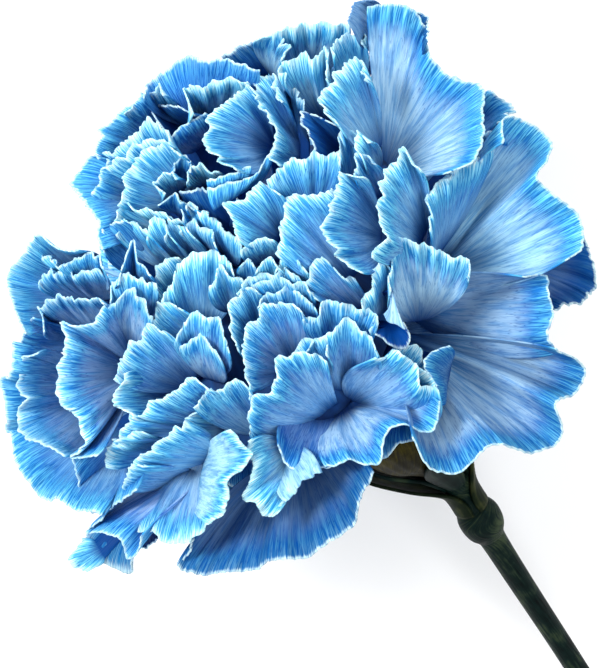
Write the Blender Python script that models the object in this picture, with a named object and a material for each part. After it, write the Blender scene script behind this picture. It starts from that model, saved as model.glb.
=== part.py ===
"""A cut carnation that lies on a surface: its bloom, calyx, stem and two leaves.

The flower lies on its bloom's far petals and on the cut end of its stem. +Z is up, the bloom faces -Y
and the stem runs back to +Y. The origin is at the bottom centre of the whole flower.
"""

import math

import bmesh
import bpy
import numpy as np

MM = 0.001

# Where the flower lies. The bloom's middle is the point that its petals spread from, at the mouth of
# the calyx, and HEAD is the way that the bloom faces.
BLOOM_MIDDLE = np.array((-0.8, -25.9, 35.0))
HEAD_RISE = math.radians(20.0)
HEAD = np.array((0.0, -math.cos(HEAD_RISE), math.sin(HEAD_RISE)))

# The petals that can be told apart are placed as they are seen from above the bloom's face, from a line
# of sight that is VIEW_TURN from the head's axis. Seen so, the head points up and to the left.
VIEW_TURN = math.radians(52.5)
VIEW_ROLL = math.radians(134.0)
EYE_DISTANCE = 750.0

PETAL_THICKNESS = 0.75
SMALLEST_PETAL = 80.0
MOST_COLUMNS = 8
COLUMN_WIDTH = 6.3
ONE_ROW_LENGTH = 14.0
FOOT_HALF_WIDTH = 1.4

# A petal's narrow claw, as a share of its foot's width and of the way to its foot, how far its blade is
# arched, how its folds grow toward the rim and how much they stand toward the eye
CLAW_WIDTH = 0.7
CLAW_END = 0.8
ARCH = 0.065
FOLD_GROWTH = 1.4
FOLD_SHIFT = 1.9
TO_FRONT = 1.5

# The crowded middle that the petals stand out of, as (distance ahead of the bloom's middle, radius).
# It is dented under the wide petals at the right, which can be seen down to their feet.
CORE_PROFILE = ((-3.5, 7.6), (0.2, 11.5), (1.2, 16.0), (4.0, 23.0), (9.0, 26.0), (17.0, 21.5),
                (23.0, 14.0), (26.5, 5.5))
CORE_SIDES = 20
DENT_WAY = (0.80, -0.05, 0.60)
DENT_DEPTH = 0.5
ROOT_AHEAD = 7.0
SUNK_REACH = 13.0

# Each petal of the seen side. First how far its foot and its rim lie from the bloom's middle, then where
# its foot is, right and up of that middle as it is seen, with half its width if that isn't the usual one,
# the number of folds across its blade and how deep they are. Last, places along its rim, some with a
# reach of their own. All in mm.
SEEN_PETALS = (
    # upper right
    ("tall", 26, 42, (7.5, 23.5), 2, 1.0,
     ((4.7, 45.5, 49), (8, 45.9, 49), (11, 45.2, 48.5), (12.3, 43, 46.5), (12.7, 39, 44),
      (15.5, 36.2), (19.4, 35.2), (20.2, 31), (19.5, 27.5), (17.5, 24.5), (14.5, 23.3, 40))),
    ("tall_flap", 38, 48.5, (6.2, 41), 1, 0.3, ((2.6, 43.2), (2.8, 44.8), (3.6, 45.9), (5, 46.1))),
    ("tall_roll", 38, 46.5, (11, 39), 1, 0.2, ((10.4, 44.8), (11.7, 44.5), (12.4, 43), (12.5, 41))),
    ("tall_back", 34, 41, (19, 28), 2, 0.8, ((20.3, 34.8), (22.7, 33.3), (23, 31), (21.6, 30.3))),
    ("right_wide", 21, 42, (13.5, 10.5), 2.5, 0.6,
     ((22.6, 27.5), (23.3, 31), (26, 30.2), (28.6, 28.2), (28.6, 25.3), (27.3, 22.6), (29.5, 20.5),
      (32.5, 18), (33.3, 14), (31, 12))),
    ("right_fold", 26, 38, (14.3, 13), 3, 0.8,
     ((12.9, 16), (12.9, 19), (14.2, 22.3), (17, 24), (19.8, 25.7), (21.8, 27))),
    ("right_tip", 30, 39.5, (18.5, 24), 1, 0.3, ((19.4, 27.6), (21, 28.6), (22.7, 28.1))),
    ("right_back", 27, 37.5, (24.5, 11), 3, 0.6,
     ((33.4, 15.5), (34.3, 13), (35, 10), (34, 7.2), (31.5, 6.2), (29.5, 5.6))),
    # lower right
    ("low_right_top", 15, 38, (10, 5.5), 2.5, 0.9,
     ((25.5, 9.9), (28.4, 9.4), (29.2, 6), (28.8, 2), (29.8, -0.5))),
    ("low_right", 15, 40, (9, 1.5), 3, 1.3,
     ((29.6, -0.2), (33.6, -2.5), (32, -5.6), (29.7, -7.2), (30.6, -11), (26, -13.2), (20.7, -13),
      (17, -15.6), (12.7, -15.2), (10.6, -11.8))),
    ("low_right_lip", 29, 36.5, (15.4, -3.6, 2.6), 1, 0.3,
     ((15.8, 0.6), (13.6, -0.3), (12.5, -1.3), (13.7, -4.5), (14.3, -7.5))),
    ("low_right_under", 27, 34, (9, -8), 1.5, 0.4, ((6.3, -14.3), (8.5, -12.6), (11.5, -11.3))),
    # middle, round the dark throat
    ("throat_right", 23, 38, (3.3, -6.9, 1.7), 2.5, 0.5,
     ((5.7, -0.8), (7, -1.2), (7.8, -0.4), (10.2, -1.1), (10.6, -2.2), (11.3, -3.2), (12, -5),
      (13.9, -5.8))),
    ("throat_ring", 28, 36.5, (9.5, -5), 1, 0.2,
     ((10.6, -2.3), (12.3, -3.1), (13.4, -4.7), (13.4, -5.8))),
    ("throat_left", 24, 39, (-0.7, -8.3, 2.1), 3, 0.6,
     ((-10.8, -11.4, 37.6), (-11.2, -8, 38.6), (-10.7, -6.4), (-9, -6.1), (-8.1, -4.7), (-7.6, -3),
      (-7.3, -1.1), (-5.5, -0.8), (-3.7, -0.1), (-2, -0.6), (-0.6, -1.6))),
    ("throat_up", 24, 37.6, (1.8, -5.3, 2), 2, 0.5,
     ((-5.2, -0.4, 36), (-4, 1, 36.3), (-1, 2), (1.4, 3.8), (3.7, 3), (5.5, 0.9), (5.8, -0.6))),
    ("throat_low_left", 21, 37, (-1, -7.6, 2.4), 1.5, 0.3,
     ((-7.2, -12.6), (-5.8, -15.2), (-4.2, -15.9), (-1.5, -15.5), (0.6, -14.9))),
    ("throat_low", 23.5, 37.8, (2.4, -7.8, 2.2), 1.5, 0.3,
     ((-1, -15.3, 38.3), (0.4, -15.1, 38.5), (2.4, -14.3, 38.5), (4.5, -15, 38.5), (6.3, -14.6, 38.3),
      (6.7, -12.2), (8, -10.2), (9.6, -9.8), (11.6, -10.6), (13.3, -10.5), (13.9, -8.5), (14.2, -6.6))),
    ("throat_wall", 26, 34, (8, -4), 1.5, 0.4, ((8.5, 0.5), (11, 0.5), (12.5, -2.5))),
    ("low_left_curl", 31, 40, (-5.3, -13.5), 2.5, 0.7,
     ((-11.2, -12), (-10.5, -14.3), (-10.9, -17), (-11.5, -19), (-9.8, -21), (-8, -22.2),
      (-6.2, -20))),
    ("low_left_roll", 30, 39.3, (-6, -13.5), 1, 0.4, ((-6.3, -20), (-4.3, -17.7), (-1.6, -16))),
    ("left_inner", 26, 37.5, (-8, -11.2), 2, 0.5,
     ((-18.2, -7.2), (-17, -5.5), (-14.6, -4.7), (-12.8, -3.9), (-11.3, -4.5), (-11.2, -6.4))),
    ("peep", 28, 37.3, (-2, -3), 1.5, 0.3,
     ((-3.1, 0), (-2.7, 1.2), (-1.8, 1.7), (-1, 1.5), (-0.9, -0.5))),
    ("mid_fan", 28, 38, (-5.5, -1.8), 3, 0.6,
     ((-11.2, -5), (-11.7, -2), (-12.1, 0.8), (-11.3, 3), (-10.1, 4.7), (-9.5, 6.1), (-7, 6.4),
      (-5, 6.1), (-3.6, 4.4))),
    ("mid_back", 28, 37, (1.5, -1), 3, 0.5,
     ((-4, 4.2), (-2, 4.6), (-1.5, 6.2), (0.7, 6.8), (2.6, 6.2), (4.6, 5.3), (6.1, 4.9), (6.1, 3.9),
      (4.8, 2.5))),
    ("mid_back_left", 29, 37.3, (-4.5, 3.3), 2.5, 0.5,
     ((-9.9, 6), (-9.3, 7.1), (-7.6, 8), (-6.2, 8.5), (-4.4, 7.9), (-3.2, 6.6), (-2.2, 5.2))),
    ("mid_left", 29, 38, (-10, 1), 2, 0.6,
     ((-12.3, 0.2), (-13.4, 1.8), (-13.6, 4), (-13.3, 6.5), (-12.3, 8.2), (-10.6, 8.4), (-9.4, 7.6))),
    ("mid_top_left", 30, 38.3, (-10, 8), 1, 0.3, ((-12.1, 11.2), (-11.2, 12), (-10.5, 11))),
    ("mid_top", 30, 38.4, (-7.5, 8), 2, 0.4,
     ((-10.1, 10.7), (-9.3, 11.9), (-8, 12.1), (-7.3, 11.2))),
    ("mid_top_in", 30, 38.2, (-4.5, 7.5), 2, 0.4,
     ((-7.4, 10.7), (-6.6, 12.2), (-5.2, 12.2), (-3.8, 10.7))),
    ("mid_top_low", 29, 38, (-6, 5.5), 3.5, 0.5,
     ((-12.2, 9), (-11, 9.9), (-8.6, 10.1), (-6.6, 10.8), (-4.6, 10))),
    ("mid_ruffle", 29, 37.6, (-5, 4.5), 4, 0.5,
     ((-12.6, 8), (-10.4, 8.9), (-8.2, 9.6), (-6.2, 9.5), (-4, 9.1), (-2.6, 7.6))),
    ("mid_top_right", 28, 37.3, (4, 5.4), 2, 0.4,
     ((-2.6, 7), (-3.9, 8.8), (-3.4, 10.4), (-1.3, 12.4), (-0.2, 11.3), (1.2, 10), (3, 9.4))),
    ("slender", 29, 37.8, (6.2, 4.6), 1.5, 0.4,
     ((3.9, 6.3), (5, 7.6), (5.6, 9), (5.8, 11.2), (6.3, 12.3), (7.7, 11))),
    ("round_right", 24, 38, (11.5, 4), 2.5, 0.6,
     ((7.6, 8), (7.4, 9.4), (7.7, 10.9), (8, 12.4), (8.7, 15.1), (11, 14.7), (15, 12.8),
      (18, 12), (18, 9.8))),
    ("tip_loop", 33, 36, (7.8, 3.4, 1), 1, 0.1,
     ((5.5, 2.3), (6.5, 1.8), (7.3, 1), (8.3, 0.5), (9.5, 0.5), (10.2, 1.5), (10, 2.8),
      (9.3, 3.9))),
    ("rolled_tip", 36, 37.5, (7.8, 7.9, 0.2), 1, 0.1,
     ((6.8, 4.9), (7.4, 4), (8.6, 3.5), (9.7, 2.9))),
    # upper middle
    ("disc", 30, 41, (6.5, 15), 4, 0.8,
     ((3.2, 10.2), (0.5, 13), (-1.2, 15.5), (-1, 18.2), (0.3, 20.5), (1, 23.8), (3.6, 23))),
    ("disc_right", 30, 41, (12, 14.8), 3.5, 0.8,
     ((5.2, 12.3), (6.4, 15), (6, 18.5), (6, 21.5), (7.6, 24.5), (9.4, 27), (11, 24))),
    ("up_small", 33, 40, (6.2, 20.5), 1, 0.3, ((3, 23.3), (3, 25), (3.4, 26), (4.3, 26), (5.3, 24.8))),
    ("up_sliver", 33, 41.5, (6, 23.5), 1, 0.2, ((3.9, 26), (3.6, 29.2), (4.8, 27.5))),
    ("up_blue", 31, 38.5, (2.8, 21), 1.5, 0.5,
     ((1, 24.5), (1.1, 27.3), (1.5, 29.9), (3.2, 28.8), (3.9, 26.3))),
    ("up_tall", 32, 43.5, (6, 26.5), 2.5, 0.6,
     ((0.4, 30.3), (-0.8, 32), (-1.7, 33.7), (-0.9, 35.1), (0.2, 36), (0.7, 37.2), (1.8, 37.8),
      (3, 39.2), (4, 38.2), (4.6, 36))),
    ("up_dark", 33, 39.5, (1.4, 26.4), 1, 0.3,
     ((-2.2, 26.3), (-2.5, 28), (-3.9, 30.2), (-3.8, 31.8), (-1.8, 31), (1, 29.6))),
    ("up_wide", 33, 41, (-2.5, 18.5), 3, 0.7,
     ((-8.7, 22.3), (-6.8, 24.6), (-4, 25.6), (-2.5, 26.2), (-0.8, 25.8), (0.7, 26.4), (1, 24))),
    ("up_fan", 30, 40, (2.5, 9.5), 4, 0.8,
     ((-7.4, 12.8), (-7, 16), (-6.5, 18.5), (-5.3, 21), (-2.5, 20.7), (-0.1, 21.7))),
    ("up_left_fan", 33, 41, (-7, 15), 2.5, 0.7,
     ((-12.2, 14.5), (-13, 16.6), (-13.9, 19.4), (-11.6, 20.3), (-10.2, 21.9), (-8.6, 22.1),
      (-7.3, 21))),
    ("up_left_curl", 32, 39, (-8.5, 11.8), 1.5, 0.5,
     ((-12.1, 13.2), (-10.8, 14.3), (-9.3, 15), (-7.8, 14.6))),
    ("great_fan", 32, 42, (-7.9, 26.8), 4, 0.6,
     ((-12.8, 23.9), (-15, 25.2), (-17, 27.2), (-16.8, 29.2), (-15.9, 31.9), (-13.5, 33.3),
      (-11.4, 35.1), (-10, 33.5))),
    ("fold_upper", 38, 40, (-13.6, 22, 2.6), 2, 0.3,
     ((-16.5, 22.2), (-14.6, 22.7), (-12.6, 23.3), (-10.6, 24.2))),
    ("fold_lower", 36.5, 39.5, (-12.5, 20.4, 3.6), 2, 0.4,
     ((-16.4, 21.4), (-13, 22), (-11.2, 22.5), (-9.7, 23.4), (-8.5, 25), (-7.6, 26.8))),
    ("grey_back", 30, 37.5, (-12.5, 14.5), 1.5, 0.4,
     ((-20.3, 21.2), (-17.5, 21.7), (-14.5, 21.3), (-12.3, 20))),
    ("top_blue", 32, 41, (-4.3, 26.3), 2, 0.5,
     ((-6.8, 24.6), (-8.1, 25.8), (-7.4, 28), (-8.3, 30.4), (-9.2, 32.1), (-10.1, 34.3), (-9.7, 36.2),
      (-8.5, 36.8), (-7.6, 35.2), (-6.4, 33))),
    ("top_dim", 31, 39.2, (-3.5, 28), 1, 0.3, ((-6.5, 34.8), (-6.1, 36.3), (-5, 34.6), (-4.2, 32.6))),
    ("top_white", 33, 43, (-0.7, 30.5), 2.5, 0.5,
     ((-6.2, 36.2), (-7.2, 37.3), (-6, 38.2), (-3.7, 39.1), (-2.7, 38.5), (-1.1, 40), (-0.7, 38),
      (-1, 35.6))),
    ("top_cyan", 37, 44.5, (3.3, 35), 2, 0.4,
     ((0.2, 39.3), (0, 40.5), (1.4, 41.8), (2.7, 42), (3.8, 42.3), (4, 40.5))),
    ("top_edge", 36, 44, (-3, 36), 4, 0.5,
     ((-7.8, 41.8), (-5.5, 42.4), (-3.5, 43), (-1, 43.1), (1, 42.9), (2.5, 42.8))),
    ("top_bright", 35, 43, (-7.6, 36), 2, 0.4,
     ((-10.1, 41), (-8.6, 41.5), (-7.2, 41.4), (-6.4, 40.6), (-6.1, 39.5), (-6.9, 38.5))),
    ("top_navy", 36, 42.3, (-9.3, 36.8), 1.5, 0.4,
     ((-14.6, 38.9), (-13, 39.8), (-11.5, 40.5), (-9.8, 41.1))),
    # upper left
    ("top_left", 34, 43, (-17.5, 29.5), 3, 0.5,
     ((-24.8, 33.6), (-23.2, 36.2), (-20.6, 38), (-16.5, 38.4), (-12.5, 38), (-9.5, 37))),
    ("top_left_white", 34, 41.5, (-16.5, 29.5), 2, 0.4,
     ((-18.4, 31.5), (-18.7, 34.7), (-16, 35), (-13.8, 35.5), (-11, 35.4))),
    ("top_left_dark", 34, 39.5, (-18.5, 29), 1, 0.3,
     ((-21.5, 28.3), (-23, 30.3), (-23.7, 32), (-22, 31.9), (-20, 31.7), (-18, 30.7))),
    ("kite", 33, 40, (-16.8, 27), 1, 0.3, ((-21.4, 28), (-19.5, 29.4), (-17.8, 30.3), (-16.7, 31.4))),
    ("left_edge_high", 35, 42.3, (-24, 27), 3, 0.6,
     ((-30.9, 26.2), (-30.3, 28), (-29.9, 29.5), (-28.5, 30.5), (-26.8, 32), (-24.6, 34))),
    ("left_edge_ruffle", 36, 42.3, (-20.5, 30), 3, 0.6,
     ((-27.3, 31.3), (-25.6, 33.2), (-23.8, 34.5), (-22.3, 33.8))),
    ("left_ruffle", 33, 41.5, (-20, 24), 3, 0.6,
     ((-30.3, 26), (-28.3, 26.6), (-27.2, 28), (-25.9, 28.8), (-25.4, 30), (-23.6, 30.2),
      (-22.4, 28.8), (-21.5, 27.9))),
    ("left_ruffle_low", 32, 41.5, (-19.5, 22), 3, 0.6,
     ((-30.2, 24), (-29, 25.2), (-27.3, 25.9), (-26.6, 27.2), (-25.2, 27.6), (-23.5, 28),
      (-21.7, 27.8))),
    ("left_edge", 33, 41.5, (-25, 20), 2.5, 0.6,
     ((-30.3, 13.4), (-31, 15.3), (-30.8, 17), (-31.8, 19), (-33.8, 21.2), (-33.8, 23.3),
      (-32.4, 25.2), (-30.6, 25.7))),
    ("left_edge_in", 32, 41, (-24, 20), 1.5, 0.4,
     ((-31.8, 20.6), (-31, 21.6), (-31, 23), (-29.9, 24.3), (-29.8, 25.3))),
    ("left_fan", 31, 41, (-18.7, 20.3), 3, 0.6,
     ((-28.5, 19.2), (-27.4, 21.5), (-27.9, 23.2), (-26.6, 24.3), (-26, 25.6), (-24.4, 27),
      (-22.3, 27.4), (-20.2, 26))),
    ("left_curl", 33, 39.5, (-20.5, 20.3), 1.5, 0.4,
     ((-22.2, 21), (-23.5, 22.3), (-22.4, 23.5), (-21.2, 23.7), (-20.6, 22.5))),
    ("left_curl_top", 33, 39.3, (-19.8, 22.2), 1, 0.3,
     ((-20.8, 23.5), (-20.7, 24.8), (-19.7, 25.4), (-18.8, 24.7), (-18.8, 23.6))),
    ("left_curl_white", 33, 39, (-15.8, 22), 1.5, 0.4,
     ((-19.2, 22.2), (-18.9, 24), (-17.8, 24.6), (-16.6, 24), (-15, 23.4))),
    ("left_curl_low", 33, 39.3, (-19.8, 17.8), 1.5, 0.4,
     ((-22.7, 19.6), (-21.2, 20.4), (-19.9, 19.9), (-19.5, 18.4))),
    ("left_strip", 31, 40, (-20, 15.5), 2, 0.5,
     ((-28.7, 17.2), (-28.4, 19.2), (-25.5, 18.7), (-23, 18.1), (-20.3, 17.3))),
    ("left_sliver", 31, 38, (-13.5, 12), 1, 0.4,
     ((-19.8, 20), (-17, 18), (-15.4, 16.6), (-13.4, 15.1), (-12.1, 14))),
    ("left_pale_sliver", 31, 38.3, (-16.5, 14.5), 1, 0.3, ((-19.6, 17), (-19.7, 19.6), (-18.2, 18.6))),
    ("left_blade_a", 30, 39.5, (-20.8, 10.5), 1.5, 0.5,
     ((-28.6, 15.3), (-28, 17.3), (-26.3, 16.8), (-24.6, 15.4))),
    ("left_blade_b", 30.5, 39.5, (-19.5, 11.5), 1, 0.4,
     ((-24.6, 14.6), (-24.2, 17.2), (-22.4, 16.9), (-22, 15))),
    ("left_blade_c", 31, 39, (-17.5, 12.2), 1, 0.4,
     ((-22.1, 15.2), (-21.9, 17.4), (-20.2, 16.7), (-19, 15.6))),
    ("left_blade_d", 31, 38.5, (-15.5, 12.5), 1.5, 0.4,
     ((-20.2, 15.8), (-19.2, 16.8), (-17.3, 16.6), (-16.2, 15.4), (-15.9, 14))),
    ("left_low_edge", 33, 40.8, (-25, 11), 1.5, 0.5,
     ((-30.3, 13.3), (-30.5, 16.2), (-29.3, 17.1), (-27.9, 17.3))),
    ("left_finger", 32, 40, (-25.5, 7.5), 1.5, 0.6,
     ((-28.2, 9), (-27.3, 12.6), (-26.5, 14.1), (-25.8, 12.5), (-24, 10))),
    # left
    ("pale_cap", 28, 38, (-17, 2.5), 2, 0.7,
     ((-22.6, 6.8), (-21.2, 9.3), (-19.9, 11.9), (-17, 13.3), (-14.5, 12.4), (-13.2, 10.8))),
    ("pale_cap_left", 31, 37, (-20.5, 7), 1.5, 0.5, ((-23.2, 7), (-23.2, 11.2), (-20.2, 12.2))),
    ("pale_curl", 31, 38, (-13, 5.5), 2, 0.6, ((-16.3, 7.8), (-15, 11), (-12, 9))),
    ("left_cluster", 30, 38, (-17, 1), 2, 0.6, ((-24.3, 3), (-23, 6.4), (-20.3, 5.6))),
    ("cup_outer", 29, 38, (-16, -3), 2.5, 0.7,
     ((-20.8, 1.5), (-19.3, 4.3), (-16.8, 5), (-14.6, 2.8), (-13.8, 0))),
    ("cup_inner", 29, 37, (-15.5, -4), 1.5, 0.5, ((-20.2, 0.8), (-17.5, 1.9), (-15.1, -0.6))),
    ("blue_fan", 29, 40, (-18.7, -4.5), 3, 0.6,
     ((-28.9, -3.6), (-28.2, -1.2), (-27, 0.8), (-25.5, 2.1), (-24, 3.3), (-22.3, 2.6))),
    ("blue_fan_low", 30, 40, (-22, -6), 2.5, 0.6,
     ((-26.6, -9), (-27.7, -7.8), (-29.3, -6.6), (-28.3, -5), (-27.5, -3))),
    ("left_arc", 33, 39.8, (-25.5, 4), 2, 0.4,
     ((-29.3, 6.8), (-29.4, 8.6), (-28.3, 9.7), (-26, 9.5), (-23.4, 8.6))),
    ("left_bell", 32, 40.3, (-26.3, 0.8), 2, 0.5,
     ((-29.9, 5.4), (-28.8, 6.3), (-28, 7.4), (-26.6, 8.1), (-25.4, 7.4), (-24.1, 4.2))),
    ("great_cup", 28, 42, (-26, -3), 4, 0.7,
     ((-30.1, 6), (-31.2, 4), (-33.5, 3.2), (-35.7, 3.7), (-35.1, 0.5), (-35.9, -3), (-36.1, -6.8),
      (-33.4, -8.9), (-32.5, -11.8), (-34.3, -14.4), (-31, -14.2))),
    ("far_left_low", 30, 42.8, (-32, -6), 4, 0.8,
     ((-38.8, -0.3), (-41.3, -2), (-41.3, -4.7), (-40.3, -6), (-41.3, -8.4), (-40.8, -10.7),
      (-38.2, -12.2), (-35.3, -14))),
    ("far_left", 32, 44, (-33, -4), 2, 0.7,
     ((-41.8, 0.6), (-42.2, -2.5), (-43.5, -5.3), (-43, -8), (-42.7, -11.5))),
    ("lobe", 33, 43.8, (-32, 8), 3, 0.8,
     ((-40.4, 2.2), (-42.2, 6.2), (-42.7, 9.3), (-41.1, 12.6), (-39.2, 15), (-36.5, 13.7),
      (-33.5, 13.1))),
    ("lobe_top", 34, 42, (-31, 8), 2, 0.5,
     ((-39, 12.5), (-37, 12), (-35.5, 11.3), (-33.5, 12.3), (-31, 12.5), (-30.2, 11.2))),
    ("lobe_ruffle", 32, 41, (-31, 6.5), 3, 0.6,
     ((-38.8, 8.6), (-38.4, 9.5), (-36.6, 10.2), (-33, 10.1), (-30.8, 10.2))),
    ("lobe_ruffle_low", 31, 41, (-31, 2.5), 3, 0.6,
     ((-38, 2.6), (-38.3, 4.4), (-38.9, 5.6), (-37.2, 6.6), (-35.5, 7.4), (-33, 6.3), (-31.6, 7),
      (-30.2, 6.6))),
    ("waist", 31, 41.8, (-33, 1), 2, 0.5, ((-39.5, 4.5), (-40.5, 2.3), (-41.2, 1), (-42, -0.4))),
    # lower left
    ("low_edge", 28, 43, (-28, -10), 4, 0.7,
     ((-42.6, -10.5), (-42.2, -13.6), (-40.8, -16.6), (-39, -18.7), (-36.4, -19.6), (-33.5, -21),
      (-30.6, -21.5))),
    ("low_facet", 30, 40, (-26, -11.5), 1.5, 0.4,
     ((-34.3, -14.5), (-33.6, -17.3), (-33.2, -20.3), (-31.2, -21.5), (-28.4, -20.4),
      (-25.9, -18.4))),
    ("low_blade", 30, 38.7, (-22, -13), 1.5, 0.4,
     ((-29.9, -15.6), (-29.8, -13.9), (-28.3, -12.5), (-26.8, -11.5), (-25, -11.3))),
    ("low_fan", 27, 39, (-14, -10), 3.5, 0.7,
     ((-30.1, -13.2), (-28.4, -11.3), (-27.3, -9.6), (-24.6, -7.5), (-22, -6), (-20.3, -4.4),
      (-18.2, -4.1), (-16.2, -5))),
    ("low_fan_under", 29, 39, (-15.5, -14), 3.5, 0.6,
     ((-26.8, -15.3), (-26, -14.1), (-24.6, -13.3), (-22.9, -11.8), (-19.6, -9.2))),
    ("low_fan_curl", 28, 39.3, (-19, -16.5), 2, 0.4,
     ((-28, -18.2), (-27.3, -17), (-27.3, -16), (-25, -15.2))),
    ("low_lobe", 29, 36, (-14.5, -9.8), 1.5, 0.4, ((-17.5, -11.2), (-19.5, -9.3), (-17.8, -7.9))),
    ("low_tube_back", 31, 40, (-25, -21), 1, 0.3,
     ((-32.6, -24.2), (-32.2, -26), (-31, -27.5), (-28.4, -28.8), (-26.6, -27.6))),
    ("low_tube_tip", 35, 40.6, (-30.5, -26.3), 1, 0.2,
     ((-33, -24.9), (-34.1, -26.5), (-34.9, -27.6), (-33.4, -29.4), (-30.8, -28.7))),
    ("low_tube", 26, 42, (-16, -15), 1.2, 0.5,
     ((-30.4, -21.8), (-32.6, -24.1), (-30, -24.2), (-28.3, -24.9), (-27.2, -27.4),
      (-25.9, -26.4), (-25.5, -24.4))),
    ("low_skirt", 26, 40, (-17, -14), 1.5, 0.4,
     ((-25.7, -24), (-23.4, -24.2), (-22.3, -25.4), (-19.5, -25.2), (-17.5, -24.2), (-16, -22.8))),
    ("low_hole", 34, 39.5, (-24.4, -24.2, 0.8), 1, 0.1,
     ((-26, -25.4), (-25.2, -25.9), (-23.9, -25.6), (-23.2, -24.9))),
    ("bright_fold", 30, 42, (-17.3, -16.5, 4.6), 2, 0.5,
     ((-13.4, -10.4), (-11.1, -13.7), (-13.5, -17), (-14.1, -20.3), (-16.2, -23))),
    ("bottom", 22, 39, (-5, -13), 5.5, 0.9,
     ((5.2, -15.8), (4, -19.3), (2.8, -22.5), (0.2, -25.2), (-4.5, -27.4), (-8, -28), (-13.5, -29.5),
      (-20.3, -28.8), (-18.3, -25.2))),
)

# How far the first and the last side of a petal bow out, as a share of its length
SIDE_BOW = (0.1, 0.1)
SIDE_BOWS = {
    "tall": (0.0, 0.0), "low_right": (0.0, 0.0), "low_right_lip": (0.0, 0.0), "throat_right": (0.12, 0.3),
    "throat_left": (0.2, -0.02), "throat_up": (-0.1, 0.12), "mid_top_right": (0.0, 0.0),
    "tip_loop": (0.0, 0.0), "rolled_tip": (-0.12, -0.08), "great_cup": (0.0, 0.0), "low_tube": (0.12, 0.0),
    "bright_fold": (0.0, 0.0),
}

# The petals of the far side, which the flower lies on, follow the plant's own spacing: each is turned
# by the golden angle from the last one.
GOLDEN_ANGLE = math.radians(137.508)
DOME_PETALS = 44
DOME_EDGE = math.radians(102.0)
DOME_RADIUS = 41.0
FAR_SIDE = -0.12
FAR_PETAL_SPREAD = 13.0
FAR_PETAL_FOOT = 0.42
FAR_PETAL_CORNERS = 0.93
FAR_FOLDS, FAR_FOLD_DEPTH = 3, 1.2
LEAN = math.radians(16.0)

# How unlike each other the far petals are: how much, and how fast it changes from one to the next
UNEVEN_TILT = (0.5, 2.4)
UNEVEN_REACH = (0.05, 1.7)
UNEVEN_TURN = (0.25, 2.1)
UNEVEN_RISE = (0.06, 3.3)
PRESSED_TO = -0.3
PRESS_SOFTNESS = 0.5

# Guard petals: the outermost ring, spread flat all round behind the others
GUARD_PETALS = 11
GUARD_FROM_HEAD = math.radians(93.0)
GUARD_REACH = 31.0
GUARD_REACH_TO_FAR_SIDE = 8.0
GUARD_REACH_LOST_LOW = 3.0
GUARD_SPREAD = 0.35
GUARD_CORNERS = 0.9
GUARD_FOOT = 9.0
GUARD_FOLDS, GUARD_FOLD_DEPTH = 2.5, 1.3

# Calyx, as distance behind the bloom's middle and radius
CALYX_WALL = 1.0
CALYX_OUTSIDE = ((30.0, 1.7), (28.0, 2.3), (25.5, 3.2), (23.0, 4.6), (20.0, 6.5), (15.0, 7.9),
                 (10.0, 8.5), (6.0, 8.8))
CALYX_FLOOR = 23.0
TEETH = 5
TOOTH_LENGTH = 5.5
TOOTH_SPLAY = math.radians(30.0)
CALYX_SIDES = 30

# Scales at the calyx's foot, in two pairs. Seen from above the face, one stands off to the left
BRACT_THICKNESS = 0.6
BRACT_TIP = 20.0
BRACT_HALF_ANGLE = math.radians(38.0)
BRACT_SPLAYS = (0.6, 0.3, 0.5, 0.2)

# Stem: the way that it rises to the calyx, and (distance from the calyx, radius) along it
STEM_RISE = math.radians(19.6)
STEM_TURN = math.radians(9.1)
STEM_WAY = np.array((-math.cos(STEM_RISE) * math.sin(STEM_TURN),
                     -math.cos(STEM_RISE) * math.cos(STEM_TURN), math.sin(STEM_RISE)))
STEM_PROFILE = ((0.35, 2.2), (1.5, 2.1), (2.8, 1.75), (5.7, 1.75), (6.6, 2.45), (7.8, 2.95), (9.2, 3.0),
                (10.6, 2.75), (11.8, 2.15), (13.0, 1.85), (20.0, 1.7), (34.0, 1.55), (55.0, 1.5))
STEM_END = 69.8
STEM_CUT = 0.9
STEM_SIDES = 16

# The two leaves. Each row of a leaf: distance from the calyx along the stem, distance out from the
# stem's axis, radius and half angle of the leaf's curl across
LEAF_THICKNESS = 0.6
LEAF_WAY = (-0.836, -0.549)
LEFT_LEAF = ((6.0, 2.33, 2.33, 78), (3.8, 2.33, 2.33, 78), (2.0, 2.6, 2.4, 62), (0.5, 3.6, 2.6, 46),
             (-1.5, 5.4, 3.2, 34), (-3.5, 7.0, 3.8, 27), (-7.0, 9.6, 4.0, 24), (-11.5, 12.3, 4.0, 18),
             (-16.0, 14.2, 4.0, 5))
RIGHT_LEAF = ((6.0, 2.33, 2.33, 78), (3.8, 2.33, 2.33, 78), (2.0, 2.5, 2.5, 62), (0.0, 3.1, 3.1, 42),
              (-3.0, 4.3, 4.2, 28), (-6.0, 5.9, 5.0, 20), (-9.0, 7.7, 5.0, 14), (-11.5, 9.2, 5.0, 4))

GAP = 0.3
BLOCK_WIDTH, BLOCK_DEPTH = 200.0, 30.0


def unit(vector):
    return vector / np.linalg.norm(vector)


def view_frame():
    """Right, up and toward the eye, as the bloom is seen."""
    toward = np.array((0.0, -math.cos(HEAD_RISE + VIEW_TURN), math.sin(HEAD_RISE + VIEW_TURN)))
    along = unit(HEAD - HEAD.dot(toward) * toward)
    across = np.cross(toward, along)
    right = math.cos(VIEW_ROLL) * along - math.sin(VIEW_ROLL) * across
    return right, np.cross(toward, right), toward


RIGHT, UP, TOWARD = view_frame()
HEAD_SIDE = unit(np.cross(HEAD, (0.0, 0.0, 1.0)))
HEAD_FRONT = np.cross(HEAD_SIDE, HEAD)


def ring_way(angle):
    """The way out from the head's axis at an angle round it."""
    return math.cos(angle) * HEAD_SIDE + math.sin(angle) * HEAD_FRONT


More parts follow.
